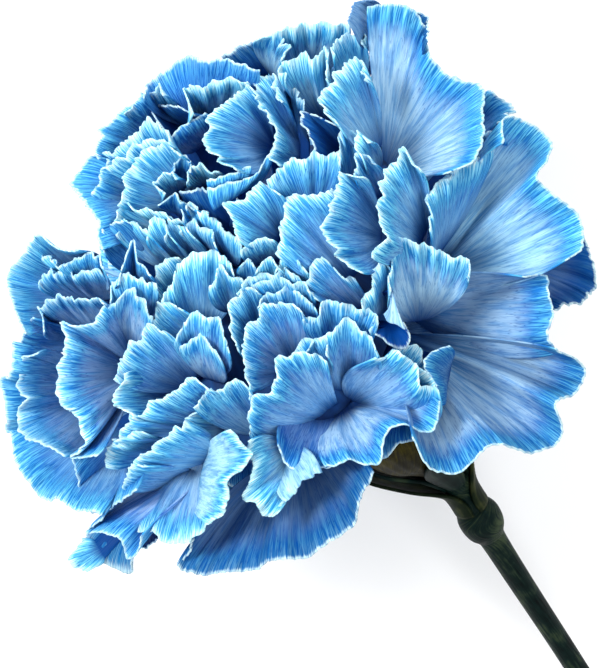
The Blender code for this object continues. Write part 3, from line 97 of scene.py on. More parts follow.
# Petals of the seen side by region. How far the foot and the rim lie from the bloom's middle; where the
# foot is, right and up of that middle as it is seen; the number of folds across the blade and how deep
# they are; and places along the rim, some with a reach of their own. All in mm.
SEEN_PETALS = {
    "upper_right": (
        ("tall", 26, 42, (7.5, 23.5), 2, 1.0,
         ((4.7, 45.5, 49), (8, 45.9, 49), (11, 45.2, 48.5), (12.3, 43, 46.5), (12.7, 39, 44),
          (15.5, 36.2), (19.4, 35.2), (20.2, 31), (19.5, 27.5), (17.5, 24.5), (14.5, 23.3, 40))),
        ("tall_flap", 38, 48.5, (6.2, 41), 1, 0.3, ((2.6, 43.2), (2.8, 44.8), (3.6, 45.9), (5, 46.1))),
        ("tall_roll", 38, 46.5, (11, 39), 1, 0.2, ((10.4, 44.8), (11.7, 44.5), (12.4, 43), (12.5, 41))),
        ("tall_back", 34, 41, (19, 28), 2, 0.8, ((20.3, 34.8), (22.7, 33.3), (23, 31), (21.6, 30.3))),
        ("right_wide", 21, 42, (13.5, 10.5), 2.5, 0.6,
         ((22.6, 27.5), (23.3, 31), (26, 30.2), (28.6, 28.2), (28.6, 25.3), (27.3, 22.6), (29.5, 20.5),
          (32.5, 18), (33.3, 14), (31, 12))),
        ("right_fold", 26, 38, (14.3, 13), 3, 0.8,
         ((12.9, 16), (12.9, 19), (14.2, 22.3), (17, 24), (19.8, 25.7), (21.8, 27))),
        ("right_tip", 30, 39.5, (18.5, 24), 1, 0.3, ((19.4, 27.6), (21, 28.6), (22.7, 28.1))),
        ("right_back", 27, 37.5, (24.5, 11), 3, 0.6,
         ((33.4, 15.5), (34.3, 13), (35, 10), (34, 7.2), (31.5, 6.2), (29.5, 5.6))),
    ),
    "lower_right": (
        ("low_right_top", 15, 38, (10, 5.5), 2.5, 0.9,
         ((25.5, 9.9), (28.4, 9.4), (29.2, 6), (28.8, 2), (29.8, -0.5))),
        ("low_right", 15, 40, (9, 1.5), 3, 1.3,
         ((29.6, -0.2), (33.6, -2.5), (32, -5.6), (29.7, -7.2), (30.6, -11), (26, -13.2), (20.7, -13),
          (17, -15.6), (12.7, -15.2), (10.6, -11.8))),
        ("low_right_lip", 29, 36.5, (15.4, -3.6, 2.6), 1, 0.3,
         ((15.8, 0.6), (13.6, -0.3), (12.5, -1.3), (13.7, -4.5), (14.3, -7.5))),
        ("low_right_under", 27, 34, (9, -8), 1.5, 0.4, ((6.3, -14.3), (8.5, -12.6), (11.5, -11.3))),
    ),
    "middle": (
        ("throat_right", 23, 38, (3.3, -6.9, 1.7), 2.5, 0.5,
         ((5.7, -0.8), (7, -1.2), (7.8, -0.4), (10.2, -1.1), (10.6, -2.2), (11.3, -3.2), (12, -5),
          (13.9, -5.8))),
        ("throat_ring", 28, 36.5, (9.5, -5), 1, 0.2,
         ((10.6, -2.3), (12.3, -3.1), (13.4, -4.7), (13.4, -5.8))),
        ("throat_left", 24, 39, (-0.7, -8.3, 2.1), 3, 0.6,
         ((-10.8, -11.4, 37.6), (-11.2, -8, 38.6), (-10.7, -6.4), (-9, -6.1), (-8.1, -4.7), (-7.6, -3),
          (-7.3, -1.1), (-5.5, -0.8), (-3.7, -0.1), (-2, -0.6), (-0.6, -1.6))),
        ("throat_up", 24, 37.6, (1.8, -5.3, 2), 2, 0.5,
         ((-5.2, -0.4, 36), (-4, 1, 36.3), (-1, 2), (1.4, 3.8), (3.7, 3), (5.5, 0.9), (5.8, -0.6))),
        ("throat_low_left", 21, 37, (-1, -7.6, 2.4), 1.5, 0.3,
         ((-7.2, -12.6), (-5.8, -15.2), (-4.2, -15.9), (-1.5, -15.5), (0.6, -14.9))),
        ("throat_low", 23.5, 37.8, (2.4, -7.8, 2.2), 1.5, 0.3,
         ((-1, -15.3, 38.3), (0.4, -15.1, 38.5), (2.4, -14.3, 38.5), (4.5, -15, 38.5), (6.3, -14.6, 38.3),
          (6.7, -12.2), (8, -10.2), (9.6, -9.8), (11.6, -10.6), (13.3, -10.5), (13.9, -8.5), (14.2, -6.6))),
        ("throat_wall", 26, 34, (8, -4), 1.5, 0.4, ((8.5, 0.5), (11, 0.5), (12.5, -2.5))),
        ("low_left_curl", 31, 40, (-5.3, -13.5), 2.5, 0.7,
         ((-11.2, -12), (-10.5, -14.3), (-10.9, -17), (-11.5, -19), (-9.8, -21), (-8, -22.2),
          (-6.2, -20))),
        ("low_left_roll", 30, 39.3, (-6, -13.5), 1, 0.4, ((-6.3, -20), (-4.3, -17.7), (-1.6, -16))),
        ("left_inner", 26, 37.5, (-8, -11.2), 2, 0.5,
         ((-18.2, -7.2), (-17, -5.5), (-14.6, -4.7), (-12.8, -3.9), (-11.3, -4.5), (-11.2, -6.4))),
        ("peep", 28, 37.3, (-2, -3), 1.5, 0.3,
         ((-3.1, 0), (-2.7, 1.2), (-1.8, 1.7), (-1, 1.5), (-0.9, -0.5))),
        ("mid_fan", 28, 38, (-5.5, -1.8), 3, 0.6,
         ((-11.2, -5), (-11.7, -2), (-12.1, 0.8), (-11.3, 3), (-10.1, 4.7), (-9.5, 6.1), (-7, 6.4),
          (-5, 6.1), (-3.6, 4.4))),
        ("mid_back", 28, 37, (1.5, -1), 3, 0.5,
         ((-4, 4.2), (-2, 4.6), (-1.5, 6.2), (0.7, 6.8), (2.6, 6.2), (4.6, 5.3), (6.1, 4.9), (6.1, 3.9),
          (4.8, 2.5))),
        ("mid_back_left", 29, 37.3, (-4.5, 3.3), 2.5, 0.5,
         ((-9.9, 6), (-9.3, 7.1), (-7.6, 8), (-6.2, 8.5), (-4.4, 7.9), (-3.2, 6.6), (-2.2, 5.2))),
        ("mid_left", 29, 38, (-10, 1), 2, 0.6,
         ((-12.3, 0.2), (-13.4, 1.8), (-13.6, 4), (-13.3, 6.5), (-12.3, 8.2), (-10.6, 8.4), (-9.4, 7.6))),
        ("mid_top_left", 30, 38.3, (-10, 8), 1, 0.3, ((-12.1, 11.2), (-11.2, 12), (-10.5, 11))),
        ("mid_top", 30, 38.4, (-7.5, 8), 2, 0.4,
         ((-10.1, 10.7), (-9.3, 11.9), (-8, 12.1), (-7.3, 11.2))),
        ("mid_top_in", 30, 38.2, (-4.5, 7.5), 2, 0.4,
         ((-7.4, 10.7), (-6.6, 12.2), (-5.2, 12.2), (-3.8, 10.7))),
        ("mid_top_low", 29, 38, (-6, 5.5), 3.5, 0.5,
         ((-12.2, 9), (-11, 9.9), (-8.6, 10.1), (-6.6, 10.8), (-4.6, 10))),
        ("mid_ruffle", 29, 37.6, (-5, 4.5), 4, 0.5,
         ((-12.6, 8), (-10.4, 8.9), (-8.2, 9.6), (-6.2, 9.5), (-4, 9.1), (-2.6, 7.6))),
        ("mid_top_right", 28, 37.3, (4, 5.4), 2, 0.4,
         ((-2.6, 7), (-3.9, 8.8), (-3.4, 10.4), (-1.3, 12.4), (-0.2, 11.3), (1.2, 10), (3, 9.4))),
        ("slender", 29, 37.8, (6.2, 4.6), 1.5, 0.4,
         ((3.9, 6.3), (5, 7.6), (5.6, 9), (5.8, 11.2), (6.3, 12.3), (7.7, 11))),
        ("round_right", 24, 38, (11.5, 4), 2.5, 0.6,
         ((7.6, 8), (7.4, 9.4), (7.7, 10.9), (8, 12.4), (8.7, 15.1), (11, 14.7), (15, 12.8),
          (18, 12), (18, 9.8))),
        ("tip_loop", 33, 36, (7.8, 3.4, 1), 1, 0.1,
         ((5.5, 2.3), (6.5, 1.8), (7.3, 1), (8.3, 0.5), (9.5, 0.5), (10.2, 1.5), (10, 2.8),
          (9.3, 3.9))),
        ("rolled_tip", 36, 37.5, (7.8, 7.9, 0.2), 1, 0.1,
         ((6.8, 4.9), (7.4, 4), (8.6, 3.5), (9.7, 2.9))),
    ),
    "upper_middle": (
        ("disc", 30, 41, (6.5, 15), 4, 0.8,
         ((3.2, 10.2), (0.5, 13), (-1.2, 15.5), (-1, 18.2), (0.3, 20.5), (1, 23.8), (3.6, 23))),
        ("disc_right", 30, 41, (12, 14.8), 3.5, 0.8,
         ((5.2, 12.3), (6.4, 15), (6, 18.5), (6, 21.5), (7.6, 24.5), (9.4, 27), (11, 24))),
        ("up_small", 33, 40, (6.2, 20.5), 1, 0.3, ((3, 23.3), (3, 25), (3.4, 26), (4.3, 26), (5.3, 24.8))),
        ("up_sliver", 33, 41.5, (6, 23.5), 1, 0.2, ((3.9, 26), (3.6, 29.2), (4.8, 27.5))),
        ("up_blue", 31, 38.5, (2.8, 21), 1.5, 0.5,
         ((1, 24.5), (1.1, 27.3), (1.5, 29.9), (3.2, 28.8), (3.9, 26.3))),
        ("up_tall", 32, 43.5, (6, 26.5), 2.5, 0.6,
         ((0.4, 30.3), (-0.8, 32), (-1.7, 33.7), (-0.9, 35.1), (0.2, 36), (0.7, 37.2), (1.8, 37.8),
          (3, 39.2), (4, 38.2), (4.6, 36))),
        ("up_dark", 33, 39.5, (1.4, 26.4), 1, 0.3,
         ((-2.2, 26.3), (-2.5, 28), (-3.9, 30.2), (-3.8, 31.8), (-1.8, 31), (1, 29.6))),
        ("up_wide", 33, 41, (-2.5, 18.5), 3, 0.7,
         ((-8.7, 22.3), (-6.8, 24.6), (-4, 25.6), (-2.5, 26.2), (-0.8, 25.8), (0.7, 26.4), (1, 24))),
        ("up_fan", 30, 40, (2.5, 9.5), 4, 0.8,
         ((-7.4, 12.8), (-7, 16), (-6.5, 18.5), (-5.3, 21), (-2.5, 20.7), (-0.1, 21.7))),
        ("up_left_fan", 33, 41, (-7, 15), 2.5, 0.7,
         ((-12.2, 14.5), (-13, 16.6), (-13.9, 19.4), (-11.6, 20.3), (-10.2, 21.9), (-8.6, 22.1),
          (-7.3, 21))),
        ("up_left_curl", 32, 39, (-8.5, 11.8), 1.5, 0.5,
         ((-12.1, 13.2), (-10.8, 14.3), (-9.3, 15), (-7.8, 14.6))),
        ("great_fan", 32, 42, (-7.9, 26.8), 4, 0.6,
         ((-12.8, 23.9), (-15, 25.2), (-17, 27.2), (-16.8, 29.2), (-15.9, 31.9), (-13.5, 33.3),
          (-11.4, 35.1), (-10, 33.5))),
        ("fold_upper", 38, 40, (-13.6, 22, 2.6), 2, 0.3,
         ((-16.5, 22.2), (-14.6, 22.7), (-12.6, 23.3), (-10.6, 24.2))),
        ("fold_lower", 36.5, 39.5, (-12.5, 20.4, 3.6), 2, 0.4,
         ((-16.4, 21.4), (-13, 22), (-11.2, 22.5), (-9.7, 23.4), (-8.5, 25), (-7.6, 26.8))),
        ("grey_back", 30, 37.5, (-12.5, 14.5), 1.5, 0.4,
         ((-20.3, 21.2), (-17.5, 21.7), (-14.5, 21.3), (-12.3, 20))),
        ("top_blue", 32, 41, (-4.3, 26.3), 2, 0.5,
         ((-6.8, 24.6), (-8.1, 25.8), (-7.4, 28), (-8.3, 30.4), (-9.2, 32.1), (-10.1, 34.3), (-9.7, 36.2),
          (-8.5, 36.8), (-7.6, 35.2), (-6.4, 33))),
        ("top_dim", 31, 39.2, (-3.5, 28), 1, 0.3, ((-6.5, 34.8), (-6.1, 36.3), (-5, 34.6), (-4.2, 32.6))),
        ("top_white", 33, 43, (-0.7, 30.5), 2.5, 0.5,
         ((-6.2, 36.2), (-7.2, 37.3), (-6, 38.2), (-3.7, 39.1), (-2.7, 38.5), (-1.1, 40), (-0.7, 38),
          (-1, 35.6))),
        ("top_cyan", 37, 44.5, (3.3, 35), 2, 0.4,
         ((0.2, 39.3), (0, 40.5), (1.4, 41.8), (2.7, 42), (3.8, 42.3), (4, 40.5))),
        ("top_edge", 36, 44, (-3, 36), 4, 0.5,
         ((-7.8, 41.8), (-5.5, 42.4), (-3.5, 43), (-1, 43.1), (1, 42.9), (2.5, 42.8))),
        ("top_bright", 35, 43, (-7.6, 36), 2, 0.4,
         ((-10.1, 41), (-8.6, 41.5), (-7.2, 41.4), (-6.4, 40.6), (-6.1, 39.5), (-6.9, 38.5))),
        ("top_navy", 36, 42.3, (-9.3, 36.8), 1.5, 0.4,
         ((-14.6, 38.9), (-13, 39.8), (-11.5, 40.5), (-9.8, 41.1))),
    ),
    "upper_left": (
        ("top_left", 34, 43, (-17.5, 29.5), 3, 0.5,
         ((-24.8, 33.6), (-23.2, 36.2), (-20.6, 38), (-16.5, 38.4), (-12.5, 38), (-9.5, 37))),
        ("top_left_white", 34, 41.5, (-16.5, 29.5), 2, 0.4,
         ((-18.4, 31.5), (-18.7, 34.7), (-16, 35), (-13.8, 35.5), (-11, 35.4))),
        ("top_left_dark", 34, 39.5, (-18.5, 29), 1, 0.3,
         ((-21.5, 28.3), (-23, 30.3), (-23.7, 32), (-22, 31.9), (-20, 31.7), (-18, 30.7))),
        ("kite", 33, 40, (-16.8, 27), 1, 0.3, ((-21.4, 28), (-19.5, 29.4), (-17.8, 30.3), (-16.7, 31.4))),
        ("left_edge_high", 35, 42.3, (-24, 27), 3, 0.6,
         ((-30.9, 26.2), (-30.3, 28), (-29.9, 29.5), (-28.5, 30.5), (-26.8, 32), (-24.6, 34))),
        ("left_edge_ruffle", 36, 42.3, (-20.5, 30), 3, 0.6,
         ((-27.3, 31.3), (-25.6, 33.2), (-23.8, 34.5), (-22.3, 33.8))),
        ("left_ruffle", 33, 41.5, (-20, 24), 3, 0.6,
         ((-30.3, 26), (-28.3, 26.6), (-27.2, 28), (-25.9, 28.8), (-25.4, 30), (-23.6, 30.2),
          (-22.4, 28.8), (-21.5, 27.9))),
        ("left_ruffle_low", 32, 41.5, (-19.5, 22), 3, 0.6,
         ((-30.2, 24), (-29, 25.2), (-27.3, 25.9), (-26.6, 27.2), (-25.2, 27.6), (-23.5, 28),
          (-21.7, 27.8))),
        ("left_edge", 33, 41.5, (-25, 20), 2.5, 0.6,
         ((-30.3, 13.4), (-31, 15.3), (-30.8, 17), (-31.8, 19), (-33.8, 21.2), (-33.8, 23.3),
          (-32.4, 25.2), (-30.6, 25.7))),
        ("left_edge_in", 32, 41, (-24, 20), 1.5, 0.4,
         ((-31.8, 20.6), (-31, 21.6), (-31, 23), (-29.9, 24.3), (-29.8, 25.3))),
        ("left_fan", 31, 41, (-18.7, 20.3), 3, 0.6,
         ((-28.5, 19.2), (-27.4, 21.5), (-27.9, 23.2), (-26.6, 24.3), (-26, 25.6), (-24.4, 27),
          (-22.3, 27.4), (-20.2, 26))),
        ("left_curl", 33, 39.5, (-20.5, 20.3), 1.5, 0.4,
         ((-22.2, 21), (-23.5, 22.3), (-22.4, 23.5), (-21.2, 23.7), (-20.6, 22.5))),
        ("left_curl_top", 33, 39.3, (-19.8, 22.2), 1, 0.3,
         ((-20.8, 23.5), (-20.7, 24.8), (-19.7, 25.4), (-18.8, 24.7), (-18.8, 23.6))),
        ("left_curl_white", 33, 39, (-15.8, 22), 1.5, 0.4,
         ((-19.2, 22.2), (-18.9, 24), (-17.8, 24.6), (-16.6, 24), (-15, 23.4))),
        ("left_curl_low", 33, 39.3, (-19.8, 17.8), 1.5, 0.4,
         ((-22.7, 19.6), (-21.2, 20.4), (-19.9, 19.9), (-19.5, 18.4))),
        ("left_strip", 31, 40, (-20, 15.5), 2, 0.5,
         ((-28.7, 17.2), (-28.4, 19.2), (-25.5, 18.7), (-23, 18.1), (-20.3, 17.3))),
        ("left_sliver", 31, 38, (-13.5, 12), 1, 0.4,
         ((-19.8, 20), (-17, 18), (-15.4, 16.6), (-13.4, 15.1), (-12.1, 14))),
        ("left_pale_sliver", 31, 38.3, (-16.5, 14.5), 1, 0.3, ((-19.6, 17), (-19.7, 19.6), (-18.2, 18.6))),
        ("left_blade_a", 30, 39.5, (-20.8, 10.5), 1.5, 0.5,
         ((-28.6, 15.3), (-28, 17.3), (-26.3, 16.8), (-24.6, 15.4))),
        ("left_blade_b", 30.5, 39.5, (-19.5, 11.5), 1, 0.4,
         ((-24.6, 14.6), (-24.2, 17.2), (-22.4, 16.9), (-22, 15))),
        ("left_blade_c", 31, 39, (-17.5, 12.2), 1, 0.4,
         ((-22.1, 15.2), (-21.9, 17.4), (-20.2, 16.7), (-19, 15.6))),
        ("left_blade_d", 31, 38.5, (-15.5, 12.5), 1.5, 0.4,
         ((-20.2, 15.8), (-19.2, 16.8), (-17.3, 16.6), (-16.2, 15.4), (-15.9, 14))),
        ("left_low_edge", 33, 40.8, (-25, 11), 1.5, 0.5,
         ((-30.3, 13.3), (-30.5, 16.2), (-29.3, 17.1), (-27.9, 17.3))),
        ("left_finger", 32, 40, (-25.5, 7.5), 1.5, 0.6,
         ((-28.2, 9), (-27.3, 12.6), (-26.5, 14.1), (-25.8, 12.5), (-24, 10))),
    ),
    "left": (
        ("pale_cap", 28, 38, (-17, 2.5), 2, 0.7,
         ((-22.6, 6.8), (-21.2, 9.3), (-19.9, 11.9), (-17, 13.3), (-14.5, 12.4), (-13.2, 10.8))),
        ("pale_cap_left", 31, 37, (-20.5, 7), 1.5, 0.5, ((-23.2, 7), (-23.2, 11.2), (-20.2, 12.2))),
        ("pale_curl", 31, 38, (-13, 5.5), 2, 0.6, ((-16.3, 7.8), (-15, 11), (-12, 9))),
        ("left_cluster", 30, 38, (-17, 1), 2, 0.6, ((-24.3, 3), (-23, 6.4), (-20.3, 5.6))),
        ("cup_outer", 29, 38, (-16, -3), 2.5, 0.7,
         ((-20.8, 1.5), (-19.3, 4.3), (-16.8, 5), (-14.6, 2.8), (-13.8, 0))),
        ("cup_inner", 29, 37, (-15.5, -4), 1.5, 0.5, ((-20.2, 0.8), (-17.5, 1.9), (-15.1, -0.6))),
        ("blue_fan", 29, 40, (-18.7, -4.5), 3, 0.6,
         ((-28.9, -3.6), (-28.2, -1.2), (-27, 0.8), (-25.5, 2.1), (-24, 3.3), (-22.3, 2.6))),
        ("blue_fan_low", 30, 40, (-22, -6), 2.5, 0.6,
         ((-26.6, -9), (-27.7, -7.8), (-29.3, -6.6), (-28.3, -5), (-27.5, -3))),
        ("left_arc", 33, 39.8, (-25.5, 4), 2, 0.4,
         ((-29.3, 6.8), (-29.4, 8.6), (-28.3, 9.7), (-26, 9.5), (-23.4, 8.6))),
        ("left_bell", 32, 40.3, (-26.3, 0.8), 2, 0.5,
         ((-29.9, 5.4), (-28.8, 6.3), (-28, 7.4), (-26.6, 8.1), (-25.4, 7.4), (-24.1, 4.2))),
        ("great_cup", 28, 42, (-26, -3), 4, 0.7,
         ((-30.1, 6), (-31.2, 4), (-33.5, 3.2), (-35.7, 3.7), (-35.1, 0.5), (-35.9, -3), (-36.1, -6.8),
          (-33.4, -8.9), (-32.5, -11.8), (-34.3, -14.4), (-31, -14.2))),
        ("far_left_low", 30, 42.8, (-32, -6), 4, 0.8,
         ((-38.8, -0.3), (-41.3, -2), (-41.3, -4.7), (-40.3, -6), (-41.3, -8.4), (-40.8, -10.7),
          (-38.2, -12.2), (-35.3, -14))),
        ("far_left", 32, 44, (-33, -4), 2, 0.7,
         ((-41.8, 0.6), (-42.2, -2.5), (-43.5, -5.3), (-43, -8), (-42.7, -11.5))),
        ("lobe", 33, 43.8, (-32, 8), 3, 0.8,
         ((-40.4, 2.2), (-42.2, 6.2), (-42.7, 9.3), (-41.1, 12.6), (-39.2, 15), (-36.5, 13.7),
          (-33.5, 13.1))),
        ("lobe_top", 34, 42, (-31, 8), 2, 0.5,
         ((-39, 12.5), (-37, 12), (-35.5, 11.3), (-33.5, 12.3), (-31, 12.5), (-30.2, 11.2))),
        ("lobe_ruffle", 32, 41, (-31, 6.5), 3, 0.6,
         ((-38.8, 8.6), (-38.4, 9.5), (-36.6, 10.2), (-33, 10.1), (-30.8, 10.2))),
        ("lobe_ruffle_low", 31, 41, (-31, 2.5), 3, 0.6,
         ((-38, 2.6), (-38.3, 4.4), (-38.9, 5.6), (-37.2, 6.6), (-35.5, 7.4), (-33, 6.3), (-31.6, 7),
          (-30.2, 6.6))),
        ("waist", 31, 41.8, (-33, 1), 2, 0.5, ((-39.5, 4.5), (-40.5, 2.3), (-41.2, 1), (-42, -0.4))),
    ),
    "lower_left": (
        ("low_edge", 28, 43, (-28, -10), 4, 0.7,
         ((-42.6, -10.5), (-42.2, -13.6), (-40.8, -16.6), (-39, -18.7), (-36.4, -19.6), (-33.5, -21),
          (-30.6, -21.5))),
        ("low_facet", 30, 40, (-26, -11.5), 1.5, 0.4,
         ((-34.3, -14.5), (-33.6, -17.3), (-33.2, -20.3), (-31.2, -21.5), (-28.4, -20.4),
          (-25.9, -18.4))),
        ("low_blade", 30, 38.7, (-22, -13), 1.5, 0.4,
         ((-29.9, -15.6), (-29.8, -13.9), (-28.3, -12.5), (-26.8, -11.5), (-25, -11.3))),
        ("low_fan", 27, 39, (-14, -10), 3.5, 0.7,
         ((-30.1, -13.2), (-28.4, -11.3), (-27.3, -9.6), (-24.6, -7.5), (-22, -6), (-20.3, -4.4),
          (-18.2, -4.1), (-16.2, -5))),
        ("low_fan_under", 29, 39, (-15.5, -14), 3.5, 0.6,
         ((-26.8, -15.3), (-26, -14.1), (-24.6, -13.3), (-22.9, -11.8), (-19.6, -9.2))),
        ("low_fan_curl", 28, 39.3, (-19, -16.5), 2, 0.4,
         ((-28, -18.2), (-27.3, -17), (-27.3, -16), (-25, -15.2))),
        ("low_lobe", 29, 36, (-14.5, -9.8), 1.5, 0.4, ((-17.5, -11.2), (-19.5, -9.3), (-17.8, -7.9))),
        ("low_tube_back", 31, 40, (-25, -21), 1, 0.3,
         ((-32.6, -24.2), (-32.2, -26), (-31, -27.5), (-28.4, -28.8), (-26.6, -27.6))),
        ("low_tube_tip", 35, 40.6, (-30.5, -26.3), 1, 0.2,
         ((-33, -24.9), (-34.1, -26.5), (-34.9, -27.6), (-33.4, -29.4), (-30.8, -28.7))),
        ("low_tube", 26, 42, (-16, -15), 1.2, 0.5,
         ((-30.4, -21.8), (-32.6, -24.1), (-30, -24.2), (-28.3, -24.9), (-27.2, -27.4),
          (-25.9, -26.4), (-25.5, -24.4))),
        ("low_skirt", 26, 40, (-17, -14), 1.5, 0.4,
         ((-25.7, -24), (-23.4, -24.2), (-22.3, -25.4), (-19.5, -25.2), (-17.5, -24.2), (-16, -22.8))),
        ("low_hole", 34, 39.5, (-24.4, -24.2, 0.8), 1, 0.1,
         ((-26, -25.4), (-25.2, -25.9), (-23.9, -25.6), (-23.2, -24.9))),
        ("bright_fold", 30, 42, (-17.3, -16.5, 4.6), 2, 0.5,
         ((-13.4, -10.4), (-11.1, -13.7), (-13.5, -17), (-14.1, -20.3), (-16.2, -23))),
        ("bottom", 22, 39, (-5, -13), 5.5, 0.9,
         ((5.2, -15.8), (4, -19.3), (2.8, -22.5), (0.2, -25.2), (-4.5, -27.4), (-8, -28), (-13.5, -29.5),
          (-20.3, -28.8), (-18.3, -25.2))),
    ),
}

# How far the first and the last side of a petal bow out, as a share of its length
SIDE_BOW = (0.1, 0.1)
SIDE_BOWS = {
    "tall": (0.0, 0.0), "low_right": (0.0, 0.0), "low_right_lip": (0.0, 0.0), "throat_right": (0.12, 0.3),
    "throat_left": (0.2, -0.02), "throat_up": (-0.1, 0.12), "mid_top_right": (0.0, 0.0),
    "tip_loop": (0.0, 0.0), "rolled_tip": (-0.12, -0.08), "great_cup": (0.0, 0.0), "low_tube": (0.12, 0.0),
    "bright_fold": (0.0, 0.0),
}

# How deep the teeth and ruffles of a rim are, where they aren't as deep as usual
EVEN_RIMS = {
    "tall": 0.4, "tall_flap": 0.15, "tall_roll": 0.15, "right_wide": 0.35, "right_fold": 0.7,
    "right_back": 0.6, "low_right_top": 0.4, "low_right": 0.35, "low_right_lip": 0.3,
    "low_right_under": 0.5, "throat_ring": 0.1, "throat_low_left": 0.4, "throat_low": 0.2, "tip_loop": 0.1,
    "rolled_tip": 0.1, "fold_upper": 0.4, "fold_lower": 0.4, "top_edge": 0.6, "top_left": 0.5,
    "top_left_dark": 0.3, "kite": 0.4, "left_edge_high": 0.5, "left_edge": 0.5, "great_cup": 0.7,
    "far_left_low": 0.7, "far_left": 0.35, "lobe": 0.35, "waist": 0.4, "low_edge": 0.35, "low_facet": 0.5,
    "low_blade": 0.5, "low_tube_back": 0.2, "low_tube": 0.4, "low_skirt": 0.5, "low_hole": 0.2,
    "bright_fold": 0.6, "bottom": 0.45,
}

# Petals that show their pale underside, where they are rolled over
UNDERSIDES = ("tall_flap", "rolled_tip", "low_left_roll")

# How far in from its foot a petal is darkened, as painted shade deep in the bloom, in mm, and at most as
# a share of its length
FOOT_PAINTED_SHADE, MOST_PAINTED_SHADE = 4.5, 0.35
FOOT_PAINTED_SHADES = {
    "tall": 7.0, "right_wide": 8.0, "low_right_top": 15.0, "low_right": 8.0, "throat_low_left": 6.5,
    "throat_low": 4.0, "round_right": 7.0, "rolled_tip": 0.5, "great_fan": 6.0, "fold_upper": 0.5,
    "fold_lower": 0.5, "blue_fan": 7.0, "low_fan": 7.0, "bright_fold": 1.0, "bottom": 9.0,
}
